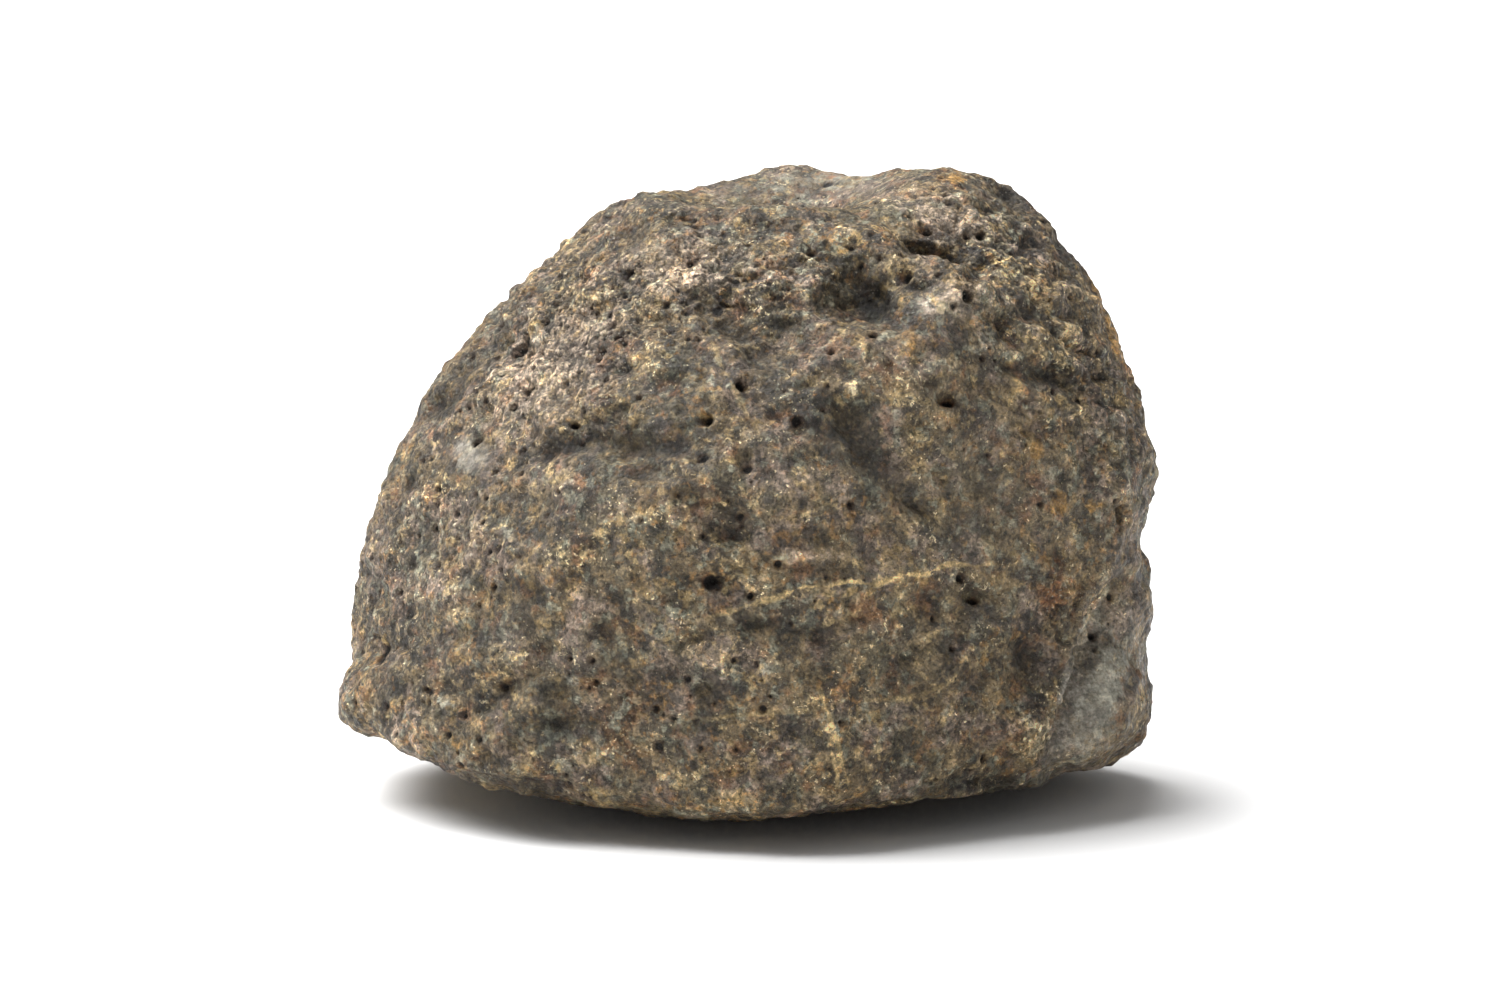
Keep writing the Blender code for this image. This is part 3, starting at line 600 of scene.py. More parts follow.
# %% Sink the pits
# How far round a pit is looked at, in radii; how steep its wall is; and how ragged its edge is.
PIT_REACH = 2.4
PIT_STEEPNESS = 3.2
PIT_RAGGEDNESS = 0.5
FAR_FROM_PITS = 1.0
finder = kdtree.KDTree(len(points))
for i, point in enumerate(points):
    finder.insert(point, i)
finder.balance()
pit_gap = np.full(len(points), FAR_FROM_PITS)
moves = np.zeros_like(points)
for i, radius, depth in pits:
    found = finder.find_range(points[i], radius * PIT_REACH * MM)
    near = np.array([index for _, index, _ in found])
    gaps = np.array([gap for _, _, gap in found]) / (radius * MM)
    gaps *= 1 + wobble[near] * PIT_RAGGEDNESS
    depths = depth * np.exp(-(gaps**PIT_STEEPNESS)) * ground[near]
    moves[near] -= normals[i] * (depths * MM)[:, None]
    pit_gap[near] = np.minimum(pit_gap[near], (gaps - 1) * radius)
points += moves
points[:, 2] = np.maximum(points[:, 2], 0)
print("the deepest pit is", round(float(np.abs(moves).max() / MM), 2), "mm deep")

# %% [markdown]
# ## Thin the skin
#
# The full net has far more triangles than a part should carry, and most of them lie where the
# stone is nearly flat. The Decimate modifier folds the least useful edges away first, so the
# triangles that are left sit round the pits, grains and ledges.

# %% Thin the net
MOST_TRIANGLES = 190_000
# How strongly the forms and the grain shade the stone, and the relief in mm beyond which they stop.
# The shade is painted shade in hollows and valleys and painted light on swells and crests, with some
# dirt and wear.
FORM_SHADE = 1.25
FORM_SHADE_LIMITS = (-1, 0.5)
GRAIN_SHADE = 0.7
GRAIN_SHADE_LIMITS = (-0.6, 0.6)

net_mesh.vertices.foreach_set("co", points.astype(np.float32).ravel())
net_mesh.update()
painted_shade_of_forms = FORM_SHADE * np.clip(form_relief, *FORM_SHADE_LIMITS)
painted_shade_of_grain = GRAIN_SHADE * np.clip(grain_relief, *GRAIN_SHADE_LIMITS)
shade = np.exp(painted_shade_of_forms + painted_shade_of_grain)
for name, values in (("shade", shade), ("pit_gap", pit_gap), ("worn", roughness)):
    layer = net_mesh.attributes.new(name, "FLOAT", "POINT")
    layer.data.foreach_set("value", values.astype(np.float32))
net_mesh.calc_loop_triangles()
full = bpy.data.objects.new("full", net_mesh)
bpy.context.scene.collection.objects.link(full)
thin = full.modifiers.new("thin", "DECIMATE")
thin.ratio = MOST_TRIANGLES / len(net_mesh.loop_triangles)
finished = full.evaluated_get(bpy.context.evaluated_depsgraph_get())
stone_mesh = bpy.data.meshes.new_from_object(finished)
bpy.data.objects.remove(full)
stone_mesh.name = "weathered_skin"
stone_mesh.calc_loop_triangles()
print("thinned from", len(net_mesh.loop_triangles), "triangles to", len(stone_mesh.loop_triangles))

# %% Clear away slivers
# A small bubble in the net can thin to a loose sliver, whose corners have just two edges each.
FEWEST_EDGES = 3
shape = bmesh.new()
shape.from_mesh(stone_mesh)
slivers = [
    corner for corner in shape.verts
    if all(len(other.link_edges) < FEWEST_EDGES for face in corner.link_faces for other in face.verts)
]
bmesh.ops.delete(shape, geom=slivers, context="VERTS")
open_edges = sum(not edge.is_manifold for edge in shape.edges)
shape.to_mesh(stone_mesh)
shape.free()
print("cleared", len(slivers), "sliver corners;", open_edges, "open edges are left")

# %% [markdown]
# ## Where the colours go
#
# Colour on a chondrite follows its grains and its rust, and a procedural pattern can give that.
# Some marks can be told apart, though: thin tan veins, a large grey chondrule, the plain grey of the
# broken hollow (partly painted sheen), patches of ochre, and dark marks of painted shade over the
# deeper hollows; olive and pale marks are partly painted shade and painted light. Each kind of mark
# becomes a number on the skin's points, which the material then reads.

# %% Measure the veins
points = numbers(stone_mesh, "co")
across, up, far = seen(points)
facing = numbers(stone_mesh, "normal") @ eye_side
front = turned(*FRONT_FADE)


def store(name, values):
    """Keeps one number for each point of the skin, under a name that the material reads."""
    layer = stone_mesh.attributes.new(name, "FLOAT", "POINT")
    layer.data.foreach_set("value", np.asarray(values, np.float32))
    tell(name, values)


# Each vein: strength, half width in mm, and a path of points in mm right and up.
VEINS = (
    (
        1.0,
        0.10,
        (
            (-4.5, 19.8), (0.0, 21.1), (3.2, 22.0), (6.0, 23.2), (8.5, 23.1), (10.6, 23.7), (13.0, 23.3),
            (15.6, 24.3), (18.0, 24.3), (20.5, 25.5), (23.0, 25.2), (25.5, 25.4),
        ),
    ),
    (0.35, 0.09, ((-4.5, 9.8), (1.0, 10.4), (7.5, 10.8))),
    (0.85, 0.09, ((7.2, 13.4), (8.2, 10.6), (9.2, 7.8), (9.8, 5.4), (10.5, 2.8))),
    (0.5, 0.07, ((8.6, 9.0), (8.7, 6.6), (9.3, 4.4), (9.2, 2.8))),
    (0.45, 0.09, ((12.0, 11.8), (16.0, 11.9), (20.5, 13.3))),
    (0.35, 0.10, ((-4.5, 50.8), (-2.4, 45.4), (-0.5, 41.8), (1.5, 37.8))),
)
NO_VEIN_NEAR = 60.0
gap = np.full(len(points), NO_VEIN_NEAR)
strength = np.zeros(len(points))
for share, half_width, path in VEINS:
    side, fade = off_path(path)
    side /= half_width
    closer = np.abs(side) < np.abs(gap)
    gap = np.where(closer, side, gap)
    strength = np.where(closer, fade * share, strength)
store("vein_gap", gap)
store("vein_share", strength * (facing > 0))

# %% Mark the broken hollow and the grey disc
# The hollow low on the right: its left rim, the rim's width, and how far the grey reaches, in mm.
HOLLOW_RIM = ((28.4, 3.0), (30.3, 7.8), (31.4, 11.4), (31.8, 14.6), (33.6, 19.0), (36.0, 23.0))
RIM_WIDTH = 0.5
HOLLOW_REACH = 4.6
# The disc on the left slope is a large chondrule cut through: mm right and up, half width, half
# height. Its edge is a share of its size.
DISC = (-27.5, 36.3, 1.9, 1.75)
DISC_END = 1.05
DISC_EDGE = 0.15
side, fade = off_path(HOLLOW_RIM)
# The grey inside the rim is partly the hollow's own smooth grey and partly painted sheen, strongest at the
# rim and fading away from it.
inside_rim = np.clip(0.5 - side / RIM_WIDTH, 0, 1) * np.exp(-((side / HOLLOW_REACH) ** 2))
from_middle = np.hypot((across - DISC[0]) / DISC[2], (up - DISC[1]) / DISC[3])
disc = np.clip((DISC_END - from_middle) / DISC_EDGE, 0, 1)
store("plain_grey", np.maximum(inside_rim * fade, disc) * front)

# %% Place the marks
# Each mark: mm right and up, half width, half height, turn in degrees, and strength.
MARKS = {
    # Dark marks are painted shade, laid over the deeper hollows, cracks and overhangs.
    "dark": (
        (27.3, 62.4, 2.6, 1.2, -27, 0.9), (32.0, 57.6, 0.9, 2.4, 24, 0.8), (12.4, 52.6, 2.8, 1.3, -50, 0.7),
        (10.4, 39.2, 1.8, 2.4, 40, 0.6), (14.0, 34.6, 1.3, 3.6, 40, 0.6), (16.8, 31.6, 2.4, 0.9, -38, 0.6),
        (28.0, 15.8, 1.6, 3.2, 5, 0.5), (37.8, 24.2, 0.8, 1.3, 0, 0.8), (20.4, 56.4, 2.8, 0.6, -14, 0.4),
        (-16.6, 38.0, 3.0, 1.4, 28, 0.3), (-7.0, 37.2, 3.0, 1.5, 10, 0.3), (-24.6, 12.4, 2.8, 0.9, 40, 0.6),
        (29.4, 44.5, 1.8, 1.0, 0, 0.6), (33.0, 43.8, 1.6, 0.8, 10, 0.6), (18.0, 21.4, 1.3, 1.6, 0, 0.4),
        (-40.2, 12.0, 0.8, 2.6, -10, 0.5), (35.0, 46.6, 2.2, 0.6, -28, 0.6),
    ),
    # Olive marks are partly the right face's darker olive tone and partly painted shade, over the diagonal
    # band, the cheek hollows and the overhang at the top right.
    "olive": (
        (24.0, 32.0, 11.0, 8.0, 0, 0.6), (14.0, 16.0, 12.0, 6.0, 0, 0.5), (34.0, 52.0, 5.0, 6.0, 0, 0.5),
        (12.0, 38.0, 3.0, 5.0, 35, 0.6), (-12.0, 36.5, 7.0, 3.0, 10, 0.5), (27.0, 62.0, 4.0, 2.0, -30, 0.5),
        (-16.0, 11.0, 7.0, 4.0, 0, 0.4), (37.5, 12.0, 3.0, 6.0, 0, 0.3),
    ),
    "mauve": (
        (-19.0, 45.0, 11.0, 6.0, 45, 0.75), (-6.0, 55.0, 9.0, 4.0, 0, 0.7), (22.0, 52.0, 5.0, 2.5, -10, 0.6),
        (20.0, 60.0, 7.0, 2.5, -20, 0.75), (6.0, 33.0, 6.0, 3.0, 0, 0.45), (-30.0, 28.0, 5.0, 6.0, 0, 0.4),
        (7.0, 26.5, 5.0, 1.5, 0, 0.5), (30.0, 40.6, 5.0, 1.2, -8, 0.5), (-3.0, 16.0, 3.0, 3.0, 0, 0.4),
    ),
    # The grey marks over the broken hollow are partly painted sheen.
    "grey": (
        (-27.5, 36.3, 1.9, 1.8, 0, 0.5), (-17.3, 13.8, 0.8, 0.8, 0, 0.7), (-30.0, 11.5, 1.3, 1.3, 0, 0.6),
        (19.0, 51.0, 2.8, 2.0, -30, 0.5), (-24.9, 50.4, 0.9, 1.2, 0, 0.9), (-20.6, 48.0, 0.9, 0.6, 0, 0.7),
        (37.0, 38.0, 3.0, 4.0, 0, 0.4), (24.0, 48.0, 3.0, 3.0, 0, 0.4), (7.0, 63.6, 9.0, 1.8, 4, 0.5),
        (35.4, 12.0, 2.6, 8.0, -19, 0.9), (34.0, 19.6, 0.8, 2.4, -20, 0.6), (14.0, 60.0, 2.0, 0.8, -10, 0.4),
        (16.5, 32.0, 1.6, 1.0, 0, 0.4), (7.5, 51.5, 1.2, 0.6, 0, 0.4), (28.0, 25.0, 4.0, 1.6, 10, 0.4),
    ),
    # Pale marks are partly paler stone and partly painted light on the swells and the rim they sit on.
    "pale": (
        (10.8, 42.8, 0.9, 1.3, 20, 0.55), (-0.6, 55.2, 0.5, 0.5, 0, 0.7), (14.6, 61.2, 0.6, 0.5, 0, 0.6),
        (-21.5, 42.5, 3.5, 1.2, 35, 0.2), (-18.0, 2.6, 0.5, 0.3, 0, 0.8), (29.2, 8.0, 1.3, 3.0, -25, 0.8),
        (-6.7, 61.2, 2.0, 0.8, 0, 0.35), (-15.4, 52.0, 1.6, 0.8, 0, 0.5), (26.6, 52.6, 1.2, 1.2, 0, 0.4),
        (-31.0, 8.4, 3.0, 1.2, -12, 0.45), (3.4, 15.4, 1.0, 0.8, 0, 0.45), (8.9, 7.6, 0.7, 3.2, 12, 0.35),
        (20.6, 51.4, 1.6, 1.0, 0, 0.1), (-2.6, 34.0, 1.6, 0.7, 0, 0.35), (9.8, 20.9, 0.8, 0.6, 0, 0.4),
    ),
    "ochre": (
        (16.2, 46.4, 0.7, 0.9, -30, 0.8), (17.5, 47.4, 4.4, 0.7, 4, 0.5), (21.0, 64.0, 1.8, 0.9, -10, 0.7),
        (29.3, 36.8, 0.9, 1.5, 0, 0.8), (31.6, 31.4, 1.1, 1.5, 0, 0.85), (35.0, 31.2, 0.8, 0.7, 0, 0.85),
        (36.9, 48.2, 0.9, 3.4, 20, 0.9), (-14.5, 51.8, 2.0, 1.4, 0, 0.4), (4.0, 57.6, 1.4, 0.8, -30, 0.5),
        (-28.6, 7.6, 3.0, 1.2, -20, 0.5), (-3.0, 1.4, 9.0, 0.9, 0, 0.45), (-8.0, 12.0, 3.0, 2.0, 0, 0.35),
        (13.0, 5.6, 2.4, 1.6, 0, 0.3), (-18.6, 23.6, 3.6, 1.8, 10, 0.4), (24.0, 16.0, 1.2, 2.2, -20, 0.45),
        (10.8, 36.0, 1.6, 2.4, 30, 0.35), (28.9, 8.4, 1.6, 3.0, -20, 0.35), (14.0, 26.0, 2.0, 1.0, 0, 0.3),
        (35.0, 53.4, 0.7, 2.4, 28, 0.8), (7.0, 31.0, 3.0, 1.0, 0, 0.3), (-24.0, 32.0, 2.0, 3.0, 0, 0.35),
    ),
    "rust": (
        (31.3, 23.0, 2.4, 3.6, -10, 0.6), (30.5, 39.0, 2.6, 1.4, 0, 0.4), (38.4, 45.6, 0.9, 3.4, 14, 0.6),
        (-7.6, 42.6, 1.4, 3.4, -20, 0.35), (-3.5, 23.9, 1.8, 0.8, 0, 0.5), (8.0, 38.5, 1.6, 3.6, 10, 0.45),
        (-39.2, 18.6, 1.0, 1.0, 0, 0.5), (15.5, 54.2, 0.8, 0.8, 0, 0.6), (-33.0, 22.0, 4.0, 2.0, 30, 0.35),
        (4.0, 37.8, 5.0, 1.2, 0, 0.3), (-29.0, 27.0, 2.0, 3.0, 0, 0.3), (20.6, 34.0, 2.0, 2.0, 0, 0.3),
        (33.6, 20.8, 1.2, 2.0, -20, 0.4), (29.0, 31.5, 1.6, 1.0, 0, 0.4),
    ),
}
for name, places in MARKS.items():
    total = np.zeros(len(points))
    for *place, share in places:
        total = np.maximum(total, share * ellipse(*place))
    store(name, total * front)

# %% [markdown]
# ## The weathered stone
#
# A weathered chondrite is dull: a fine, slightly porous matrix with the roughness of brick. It is
# silicate grains and rust, so it isn't metallic and its IOR is the usual 1.5. Its colour is a
# mixture at every scale, so the material lays one noise layer over another, from broad stains down
# to single crystals. Each layer is a noise, a threshold and a mix, so a loop over a table makes
# them all. Noise scales are worked out from the size of what they stand for.

# %% Start the material
stone = bpy.data.materials.new("weathered_chondrite")
stone.use_nodes = True
tree = stone.node_tree
surface = tree.nodes["Principled BSDF"]
place = add(tree, "ShaderNodeTexCoord")["Object"]
STORED = ("shade", "pit_gap", "worn", "vein_gap", "vein_share", "plain_grey", *MARKS)
stored = {name: add(tree, "ShaderNodeAttribute", attribute_name=name)["Fac"] for name in STORED}
print("the material reads", len(stored), "numbers that are stored on the skin")

# %% [markdown]
# Plain noise makes round, even blobs, like terrazzo. Real stains run and smear, so the place that
# most patterns read is first pushed about by a coarser noise, which makes ragged, drawn-out shapes.
# The inputs of a noise node are, in order, the place it reads, a fourth number that picks another
# pattern, the scale, the detail, and how rough the detail is.

# %% Bend the place that the patterns read
BEND_SIZE = 2.4
BEND_DETAIL = 3
BEND = 0.9 * MM
ROUGH = 0.62
MIDDLE = (0.5, 0.5, 0.5)
inputs = (place, 0.0, 1 / (BEND_SIZE * MM), BEND_DETAIL, ROUGH)
push = add(tree, "ShaderNodeTexNoise", inputs, **FOURTH)["Color"]
push = add(tree, "ShaderNodeVectorMath", (push, MIDDLE), operation="SUBTRACT")["Vector"]
bent = add(tree, "ShaderNodeVectorMath", (push, (BEND,) * 3, place), operation="MULTIPLY_ADD")["Vector"]
print("stains are bent by up to", round(BEND / MM / 2, 2), "mm")

# %% Lay the layers of colour
MATRIX = 0x605441
# Each layer: what it is, size in mm, detail, threshold from and to, colour, share, and how far its
# grains gather in clusters.
LAYERS = (
    ("grey-green ground", 7.0, 6, 0.46, 0.60, 0x403F35, 0.75, 0.0),
    ("mauve ground", 5.0, 6, 0.48, 0.60, 0x6C605A, 0.75, 0.0),
    ("tan ground", 3.4, 7, 0.54, 0.64, 0x75603D, 0.5, 0.0),
    ("rust stains", 3.0, 7, 0.52, 0.63, 0x62432C, 0.65, 0.2),
    ("dark grains", 1.9, 6, 0.47, 0.58, 0x25221E, 0.8, 0.3),
    ("grey grains", 1.3, 4, 0.55, 0.62, 0x73766B, 0.5, 0.3),
    ("tan grains", 1.2, 6, 0.58, 0.68, 0xA08E6A, 0.6, 0.55),
    ("orange grains", 1.0, 5, 0.57, 0.66, 0x7C5D36, 0.55, 0.5),
    ("ochre blotches", 2.0, 6, 0.56, 0.66, 0x84704A, 0.5, 0.4),
    ("dark specks", 0.5, 3, 0.55, 0.63, 0x1A1713, 0.7, 0.3),
    ("pale specks", 0.4, 2, 0.65, 0.70, 0xC0B496, 0.6, 0.5),
)
# Each pattern has a number of its own, and this gap between them keeps them from lining up.
NUMBER_GAP = 3.7
CLUSTER_SIZE = 6.0
CLUSTER_DETAIL = 3
FIRST_CLUSTER = 20
colour = linear(MATRIX)
for number, (name, size, detail, low, high, tint, share, gathered) in enumerate(LAYERS):
    inputs = (bent, number * NUMBER_GAP, 1 / (size * MM), detail, ROUGH)
    grain = add(tree, "ShaderNodeTexNoise", inputs, **FOURTH)["Fac"]
    if gathered:
        picked = number + FIRST_CLUSTER
        inputs = (bent, picked * NUMBER_GAP, 1 / (CLUSTER_SIZE * MM), CLUSTER_DETAIL, ROUGH)
        cluster = add(tree, "ShaderNodeTexNoise", inputs, **FOURTH)["Fac"]
        grain = add(tree, "ShaderNodeMath", (cluster, gathered, grain), operation="MULTIPLY_ADD")[0]
    # The clusters lift the pattern by half their strength on average, so the thresholds rise too.
    limits = (grain, low + gathered / 2, high + gathered / 2, 0.0, share)
    mask = add(tree, "ShaderNodeMapRange", limits, **SOFT)[0]
    colour = add(tree, "ShaderNodeMix", {0: mask, 6: colour, 7: linear(tint)}, label=name, **COLOURS)[2]
print(len(LAYERS), "layers of colour")

# %% Add the chondrules
# Most chondrules are of the matrix's own colour, so only a share of them shows.
CHONDRULE_SPACING = 1.7
CHONDRULE_SHARE = 0.18
CHONDRULE_EDGE = (0.26, 0.36, 0.55, 0.0)
DARK_CHONDRULE = 0x45453F
PALE_CHONDRULE = 0x8A7B62
cells = add(tree, "ShaderNodeTexVoronoi", {"Vector": bent, "Scale": 1 / (CHONDRULE_SPACING * MM)})
chance = add(tree, "ShaderNodeSeparateColor", {"Color": cells["Color"]})
shown = add(tree, "ShaderNodeMath", (chance["Red"], 1 - CHONDRULE_SHARE), operation="GREATER_THAN")[0]
mask = add(tree, "ShaderNodeMapRange", (cells["Distance"], *CHONDRULE_EDGE), **SOFT)[0]
mask = add(tree, "ShaderNodeMath", (mask, shown), operation="MULTIPLY")[0]
inputs = {0: chance["Green"], 6: linear(DARK_CHONDRULE), 7: linear(PALE_CHONDRULE)}
tint = add(tree, "ShaderNodeMix", inputs, **COLOURS)[2]
colour = add(tree, "ShaderNodeMix", {0: mask, 6: colour, 7: tint}, label="chondrules", **COLOURS)[2]
print("chondrules are", CHONDRULE_SPACING, "mm apart, and", CHONDRULE_SHARE, "of them show")

# %% Lay the marks over the pattern
MARK_COLOURS = {
    # Dark is painted shade; olive is partly painted shade and pale partly painted light.
    "dark": 0x2B2721,
    "olive": 0x3F3B30,
    "mauve": 0x80746A,
    "grey": 0x71726C,
    "pale": 0x9C927B,
    "ochre": 0x8A6A38,
    "rust": 0x684328,
}
MARK_EDGE_SIZE = 1.2
MARK_EDGE_DETAIL = 6
MARK_EDGE_ROUGH = 0.7
FIRST_MARK = 40
MARK_RAGGEDNESS = 2.4
# The noise adds 1.2 to a mark's own strength on average, so a mark shows where the sum passes 1.5.
MARK_SHOWS = (1.5, 2.0, 0.0, 0.7)
MARK_ENDS = (0.02, 0.2, 0.0, 1.0)
for number, (name, tint) in enumerate(MARK_COLOURS.items(), FIRST_MARK):
    inputs = (bent, number * NUMBER_GAP, 1 / (MARK_EDGE_SIZE * MM), MARK_EDGE_DETAIL, MARK_EDGE_ROUGH)
    ragged = add(tree, "ShaderNodeTexNoise", inputs, **FOURTH)["Fac"]
    inputs = (ragged, MARK_RAGGEDNESS, stored[name])
    torn = add(tree, "ShaderNodeMath", inputs, operation="MULTIPLY_ADD")[0]
    mask = add(tree, "ShaderNodeMapRange", (torn, *MARK_SHOWS), **SOFT)[0]
    there = add(tree, "ShaderNodeMapRange", (stored[name], *MARK_ENDS), **SOFT)[0]
    mask = add(tree, "ShaderNodeMath", (mask, there), operation="MULTIPLY")[0]
    colour = add(tree, "ShaderNodeMix", {0: mask, 6: colour, 7: linear(tint)}, label=name, **COLOURS)[2]
print(len(MARK_COLOURS), "kinds of mark")

# %% Make the single patterns
# Each pattern: its number, size in mm, detail, how rough the detail is, and the place it reads.
PATTERNS = {
    "clouds": (50, 2.4, 5, ROUGH, bent),
    "vein wander": (60, 2.2, 5, ROUGH, place),
    "vein breaks": (61, 1.6, 5, ROUGH, place),
    "grit": (62, 0.32, 4, 0.8, place),
    "glint patches": (63, 5.0, 4, ROUGH, place),
    "dullness": (64, 0.7, 4, ROUGH, place),
    "crumbs": (65, 0.9, 6, 0.72, place),
    "patches": (66, 2.6, 5, ROUGH, bent),
    "spots": (67, 0.9, 4, ROUGH, place),
    "crystal edges": (68, 0.5, 3, ROUGH, place),
}
patterns = {}
for name, (number, size, detail, rough, where) in PATTERNS.items():
    inputs = (where, number * NUMBER_GAP, 1 / (size * MM), detail, rough)
    patterns[name] = add(tree, "ShaderNodeTexNoise", inputs, label=name, **FOURTH)
print(len(patterns), "single patterns")

# %% Lay plain grey over the broken hollow and the grey disc
# Over the broken hollow the plain grey is partly painted sheen; over the disc it is the chondrule's own
# grey.
PLAIN_GREY = 0x6D6A66
PLAIN_GREY_CLOUDS = (0.36, 0.6, 0.85, 0.4)
clouds = add(tree, "ShaderNodeMapRange", (patterns["clouds"]["Fac"], *PLAIN_GREY_CLOUDS), **SOFT)[0]
mask = add(tree, "ShaderNodeMath", (stored["plain_grey"], clouds), operation="MULTIPLY")[0]
inputs = {0: mask, 6: colour, 7: linear(PLAIN_GREY)}
colour = add(tree, "ShaderNodeMix", inputs, label="plain grey", **COLOURS)[2]
print("plain grey covers up to", PLAIN_GREY_CLOUDS[2], "of the stone's own colour")

# %% Draw the veins
# A vein wanders off its path by a few times its own half width, and it is thin or broken in places.
VEIN_COLOUR = 0xA8946C
VEIN_WANDER = 7.0
VEIN_WIDTH = (0.35, 0.62, 0.4, 2.4)
VEIN_EDGE = (0.4, 2.2, 1.0, 0.0)
VEIN_BREAKS = (0.28, 0.48, 0.0, 0.9)
breaks = patterns["vein breaks"]["Fac"]
width = add(tree, "ShaderNodeMapRange", (breaks, *VEIN_WIDTH), **SOFT)[0]
inputs = (patterns["vein wander"]["Fac"], VEIN_WANDER, stored["vein_gap"])
off = add(tree, "ShaderNodeMath", inputs, operation="MULTIPLY_ADD")[0]
for operation, by in (("SUBTRACT", VEIN_WANDER / 2), ("ABSOLUTE", 0.0), ("DIVIDE", width)):
    off = add(tree, "ShaderNodeMath", (off, by), operation=operation)[0]
mask = add(tree, "ShaderNodeMapRange", (off, *VEIN_EDGE), **SOFT)[0]
unbroken = add(tree, "ShaderNodeMapRange", (breaks, *VEIN_BREAKS), **SOFT)[0]
for share in (stored["vein_share"], unbroken):
    mask = add(tree, "ShaderNodeMath", (mask, share), operation="MULTIPLY")[0]
inputs = {0: mask, 6: colour, 7: linear(VEIN_COLOUR)}
colour = add(tree, "ShaderNodeMix", inputs, label="veins", **COLOURS)[2]
print(len(VEINS), "veins")

# %% [markdown]
# ## Dirt and painted shade in the hollows, wear and painted light on the crests
#
# Hollows and valleys are painted darker and crests paler: partly dark rust and dust in the hollows and
# wear on the crests, and partly painted shade and painted light. The shade that was worked out from
# the relief is stored on the skin. Finer patterns vary it patch by patch and grain by grain, and each
# pit is painted nearly black inside as painted shade, with a rusty rim.

# %% Break the surface into crystals
CRYSTAL_SIZE = 0.5
scattered = (patterns["crystal edges"]["Color"], (CRYSTAL_SIZE * MM,) * 3, place)
crystal_place = add(tree, "ShaderNodeVectorMath", scattered, operation="MULTIPLY_ADD")["Vector"]
inputs = {"Vector": crystal_place, "Scale": 1 / (CRYSTAL_SIZE * MM)}
crystals = add(tree, "ShaderNodeTexVoronoi", inputs, label="crystals")
one_each = add(tree, "ShaderNodeSeparateColor", {"Color": crystals["Color"]})["Red"]
print("crystals are about", CRYSTAL_SIZE, "mm wide")

# %% Shade the stone
BASE_SHADE = 1.77
RUST_CAST = (1.04, 1.0, 0.90)
# Each shade: what it follows, from and to, its darkest and brightest, and the power that it is
# raised to, as a share of the roughness and a share that is the same all over.
SHADES = (
    (patterns["grit"]["Fac"], 0.3, 0.7, 0.45, 1.6, 1.1, 0.35),
    (one_each, 0.0, 1.0, 0.55, 1.5, 1.7, -0.3),
    (patterns["patches"]["Fac"], 0.36, 0.64, 0.68, 1.4, 0.0, 1.0),
    (patterns["spots"]["Fac"], 0.36, 0.64, 0.74, 1.32, 0.0, 1.0),
)
# The stored shade is painted shade in the hollows and painted light on the swells and crests, with some dirt
# and wear.
shade = stored["shade"]
for *limits, by_wear, all_over in SHADES:
    step = add(tree, "ShaderNodeMapRange", limits, **SOFT)[0]
    power = add(tree, "ShaderNodeMath", (stored["worn"], by_wear, all_over), operation="MULTIPLY_ADD")[0]
    step = add(tree, "ShaderNodeMath", (step, power), operation="POWER")[0]
    shade = add(tree, "ShaderNodeMath", (shade, step), operation="MULTIPLY")[0]
cast = [BASE_SHADE * share for share in RUST_CAST]
colour = add(tree, "ShaderNodeVectorMath", {0: colour, "Scale": shade}, operation="SCALE")["Vector"]
colour = add(tree, "ShaderNodeVectorMath", (colour, cast), operation="MULTIPLY")["Vector"]
print(len(SHADES), "shades over the one from the relief")

# %% Darken the pits
# Each ring: from and to, in mm from the pit's edge, its share inside and outside, and its colour.
# The inner ring paints each pit nearly black inside: painted shade. The outer ring is a rusty rim.
PIT_RINGS = (
    (-0.05, 0.25, 0.5, 0.0, 0x452B1A),
    (-0.16, 0.02, 0.95, 0.0, 0x0E0B08),
)
for *limits, tint in PIT_RINGS:
    mask = add(tree, "ShaderNodeMapRange", (stored["pit_gap"], *limits), **SOFT)[0]
    colour = add(tree, "ShaderNodeMix", {0: mask, 6: colour, 7: linear(tint)}, label="pits", **COLOURS)[2]
print("each pit has", len(PIT_RINGS), "rings of colour")

# %% Paint glints on the crystal faces
# Each glint is a painted highlight on a crystal face. Real crystal faces are under 0.1 mm; these are
# drawn coarser so that they show.
GLINT_SPACING = 0.28
GLINT_SHARE = 0.2
GLINT_STRENGTH = 0.7
GLINT_COLOUR = 0xE2DAC8
faces = add(tree, "ShaderNodeTexVoronoi", {"Vector": place, "Scale": 1 / (GLINT_SPACING * MM)})
chance = add(tree, "ShaderNodeSeparateColor", {"Color": faces["Color"]})["Blue"]
lit = add(tree, "ShaderNodeMath", (chance, 1 - GLINT_SHARE), operation="GREATER_THAN")[0]
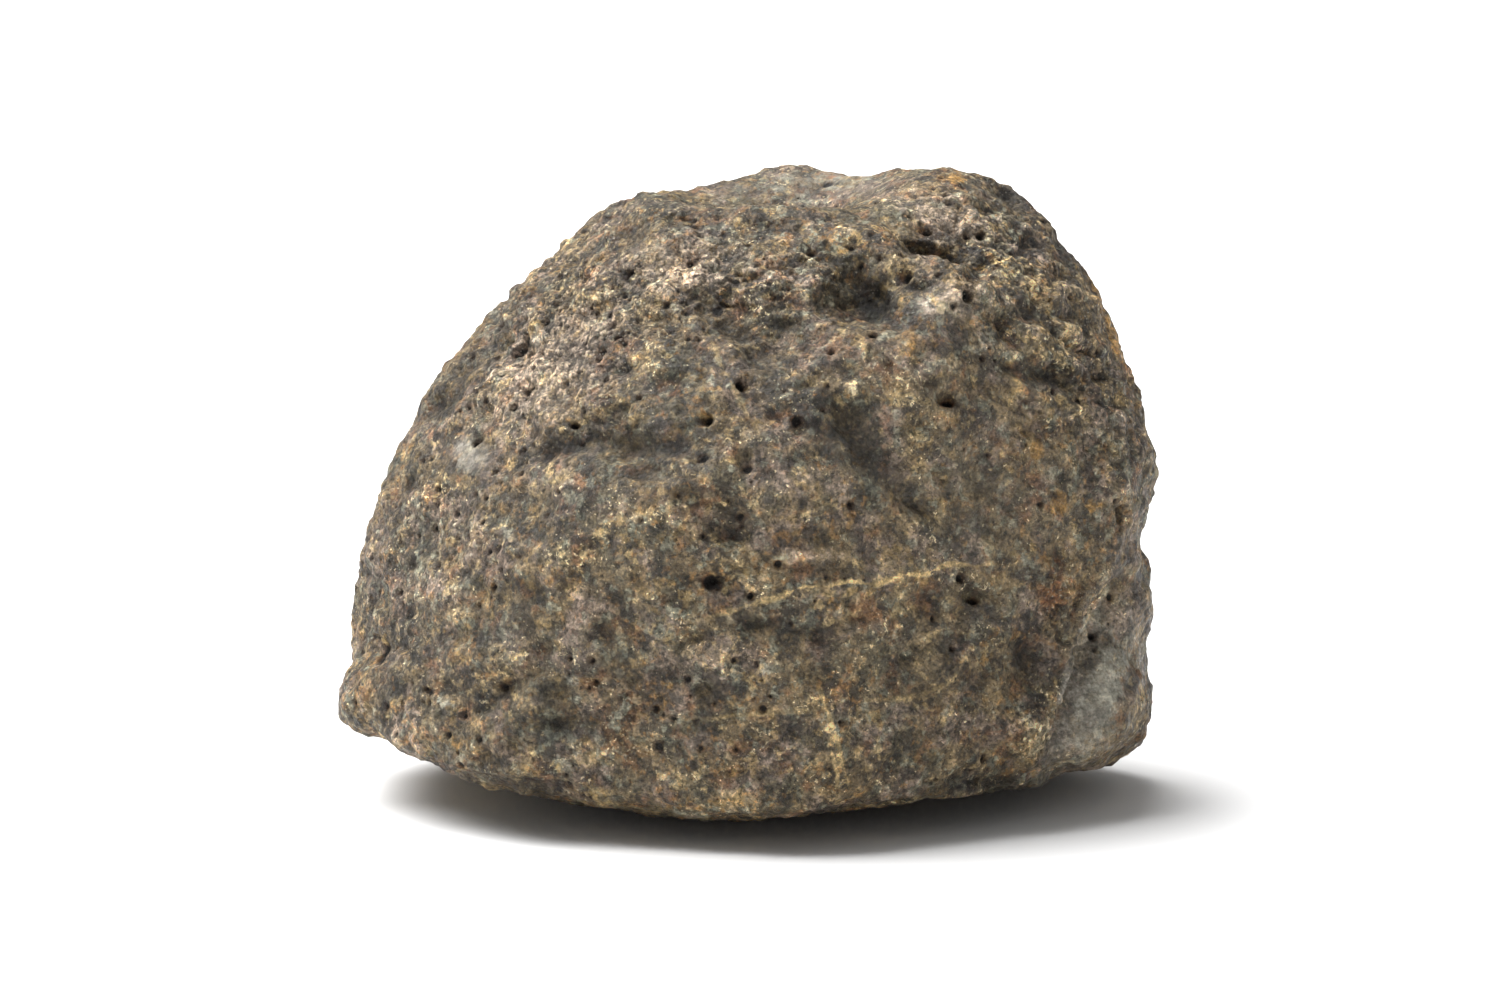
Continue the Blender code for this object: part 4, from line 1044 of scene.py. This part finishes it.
# Each limit: what it follows, from and to, and the share below and above.
GLINT_LIMITS = (
    (faces["Distance"], 0.15, 0.4, 1.0, 0.0),
    (patterns["glint patches"]["Fac"], 0.40, 0.58, 0.0, 1.0),
    (stored["worn"], 0.5, 1.05, 0.12, 1.0),
)
for limits in GLINT_LIMITS:
    step = add(tree, "ShaderNodeMapRange", limits, **SOFT)[0]
    lit = add(tree, "ShaderNodeMath", (lit, step), operation="MULTIPLY")[0]
mask = add(tree, "ShaderNodeMath", (lit, GLINT_STRENGTH), operation="MULTIPLY")[0]
inputs = {0: mask, 6: colour, 7: linear(GLINT_COLOUR)}
colour = add(tree, "ShaderNodeMix", inputs, label="glints", **COLOURS)[2]
tree.links.new(colour, surface.inputs["Base Color"])
print("one crystal face in", round(1 / GLINT_SHARE), "can shine")

# %% Make it dull
STONE_IOR = 1.5
DULLNESS = (0.35, 0.65, 0.32, 0.68)
GLINT_POLISH = -0.25
dull = add(tree, "ShaderNodeMapRange", (patterns["dullness"]["Fac"], *DULLNESS), **SOFT)[0]
dull = add(tree, "ShaderNodeMath", (lit, GLINT_POLISH, dull), operation="MULTIPLY_ADD")[0]
tree.links.new(dull, surface.inputs["Roughness"])
surface.inputs["IOR"].default_value = STONE_IOR
print("the stone's roughness is from", DULLNESS[2], "to", DULLNESS[3])

# %% Raise the finest grain
# Each height is how far the surface would rise where its pattern goes from 0 to 1.
CRUMB_HEIGHT = 2.4 * MM
CRYSTAL_HEIGHT = 0.45 * MM
GRIT_HEIGHT = 0.3 * MM
CRYSTAL_TOP = 0.6
crumbs = add(tree, "ShaderNodeMath", (patterns["crumbs"]["Fac"], 0.5), operation="SUBTRACT")[0]
crumbs = add(tree, "ShaderNodeMath", (crumbs,), operation="ABSOLUTE")[0]
crumbs = add(tree, "ShaderNodeMath", (crumbs, stored["worn"]), operation="MULTIPLY")[0]
proud = add(tree, "ShaderNodeMath", (CRYSTAL_TOP, crystals["Distance"]), operation="SUBTRACT")[0]
proud = add(tree, "ShaderNodeMath", (proud, stored["worn"]), operation="MULTIPLY")[0]
BUMPS = ((crumbs, CRUMB_HEIGHT), (proud, CRYSTAL_HEIGHT), (patterns["grit"]["Fac"], GRIT_HEIGHT))
under = {}
for pattern, height in BUMPS:
    bump = add(tree, "ShaderNodeBump", {"Height": pattern, "Strength": 1.0, "Distance": height, **under})
    under = {"Normal": bump["Normal"]}
tree.links.new(bump["Normal"], surface.inputs["Normal"])
print("the material has", len(tree.nodes), "nodes")

# %% Put the skin in place of the solid
meteorite = bpy.data.objects.new("meteorite_skin", stone_mesh)
bpy.context.scene.collection.objects.link(meteorite)
stone_mesh.materials.clear()
stone_mesh.materials.append(stone)
stone_mesh.shade_smooth()
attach(meteorite, "root")
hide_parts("meteorite")
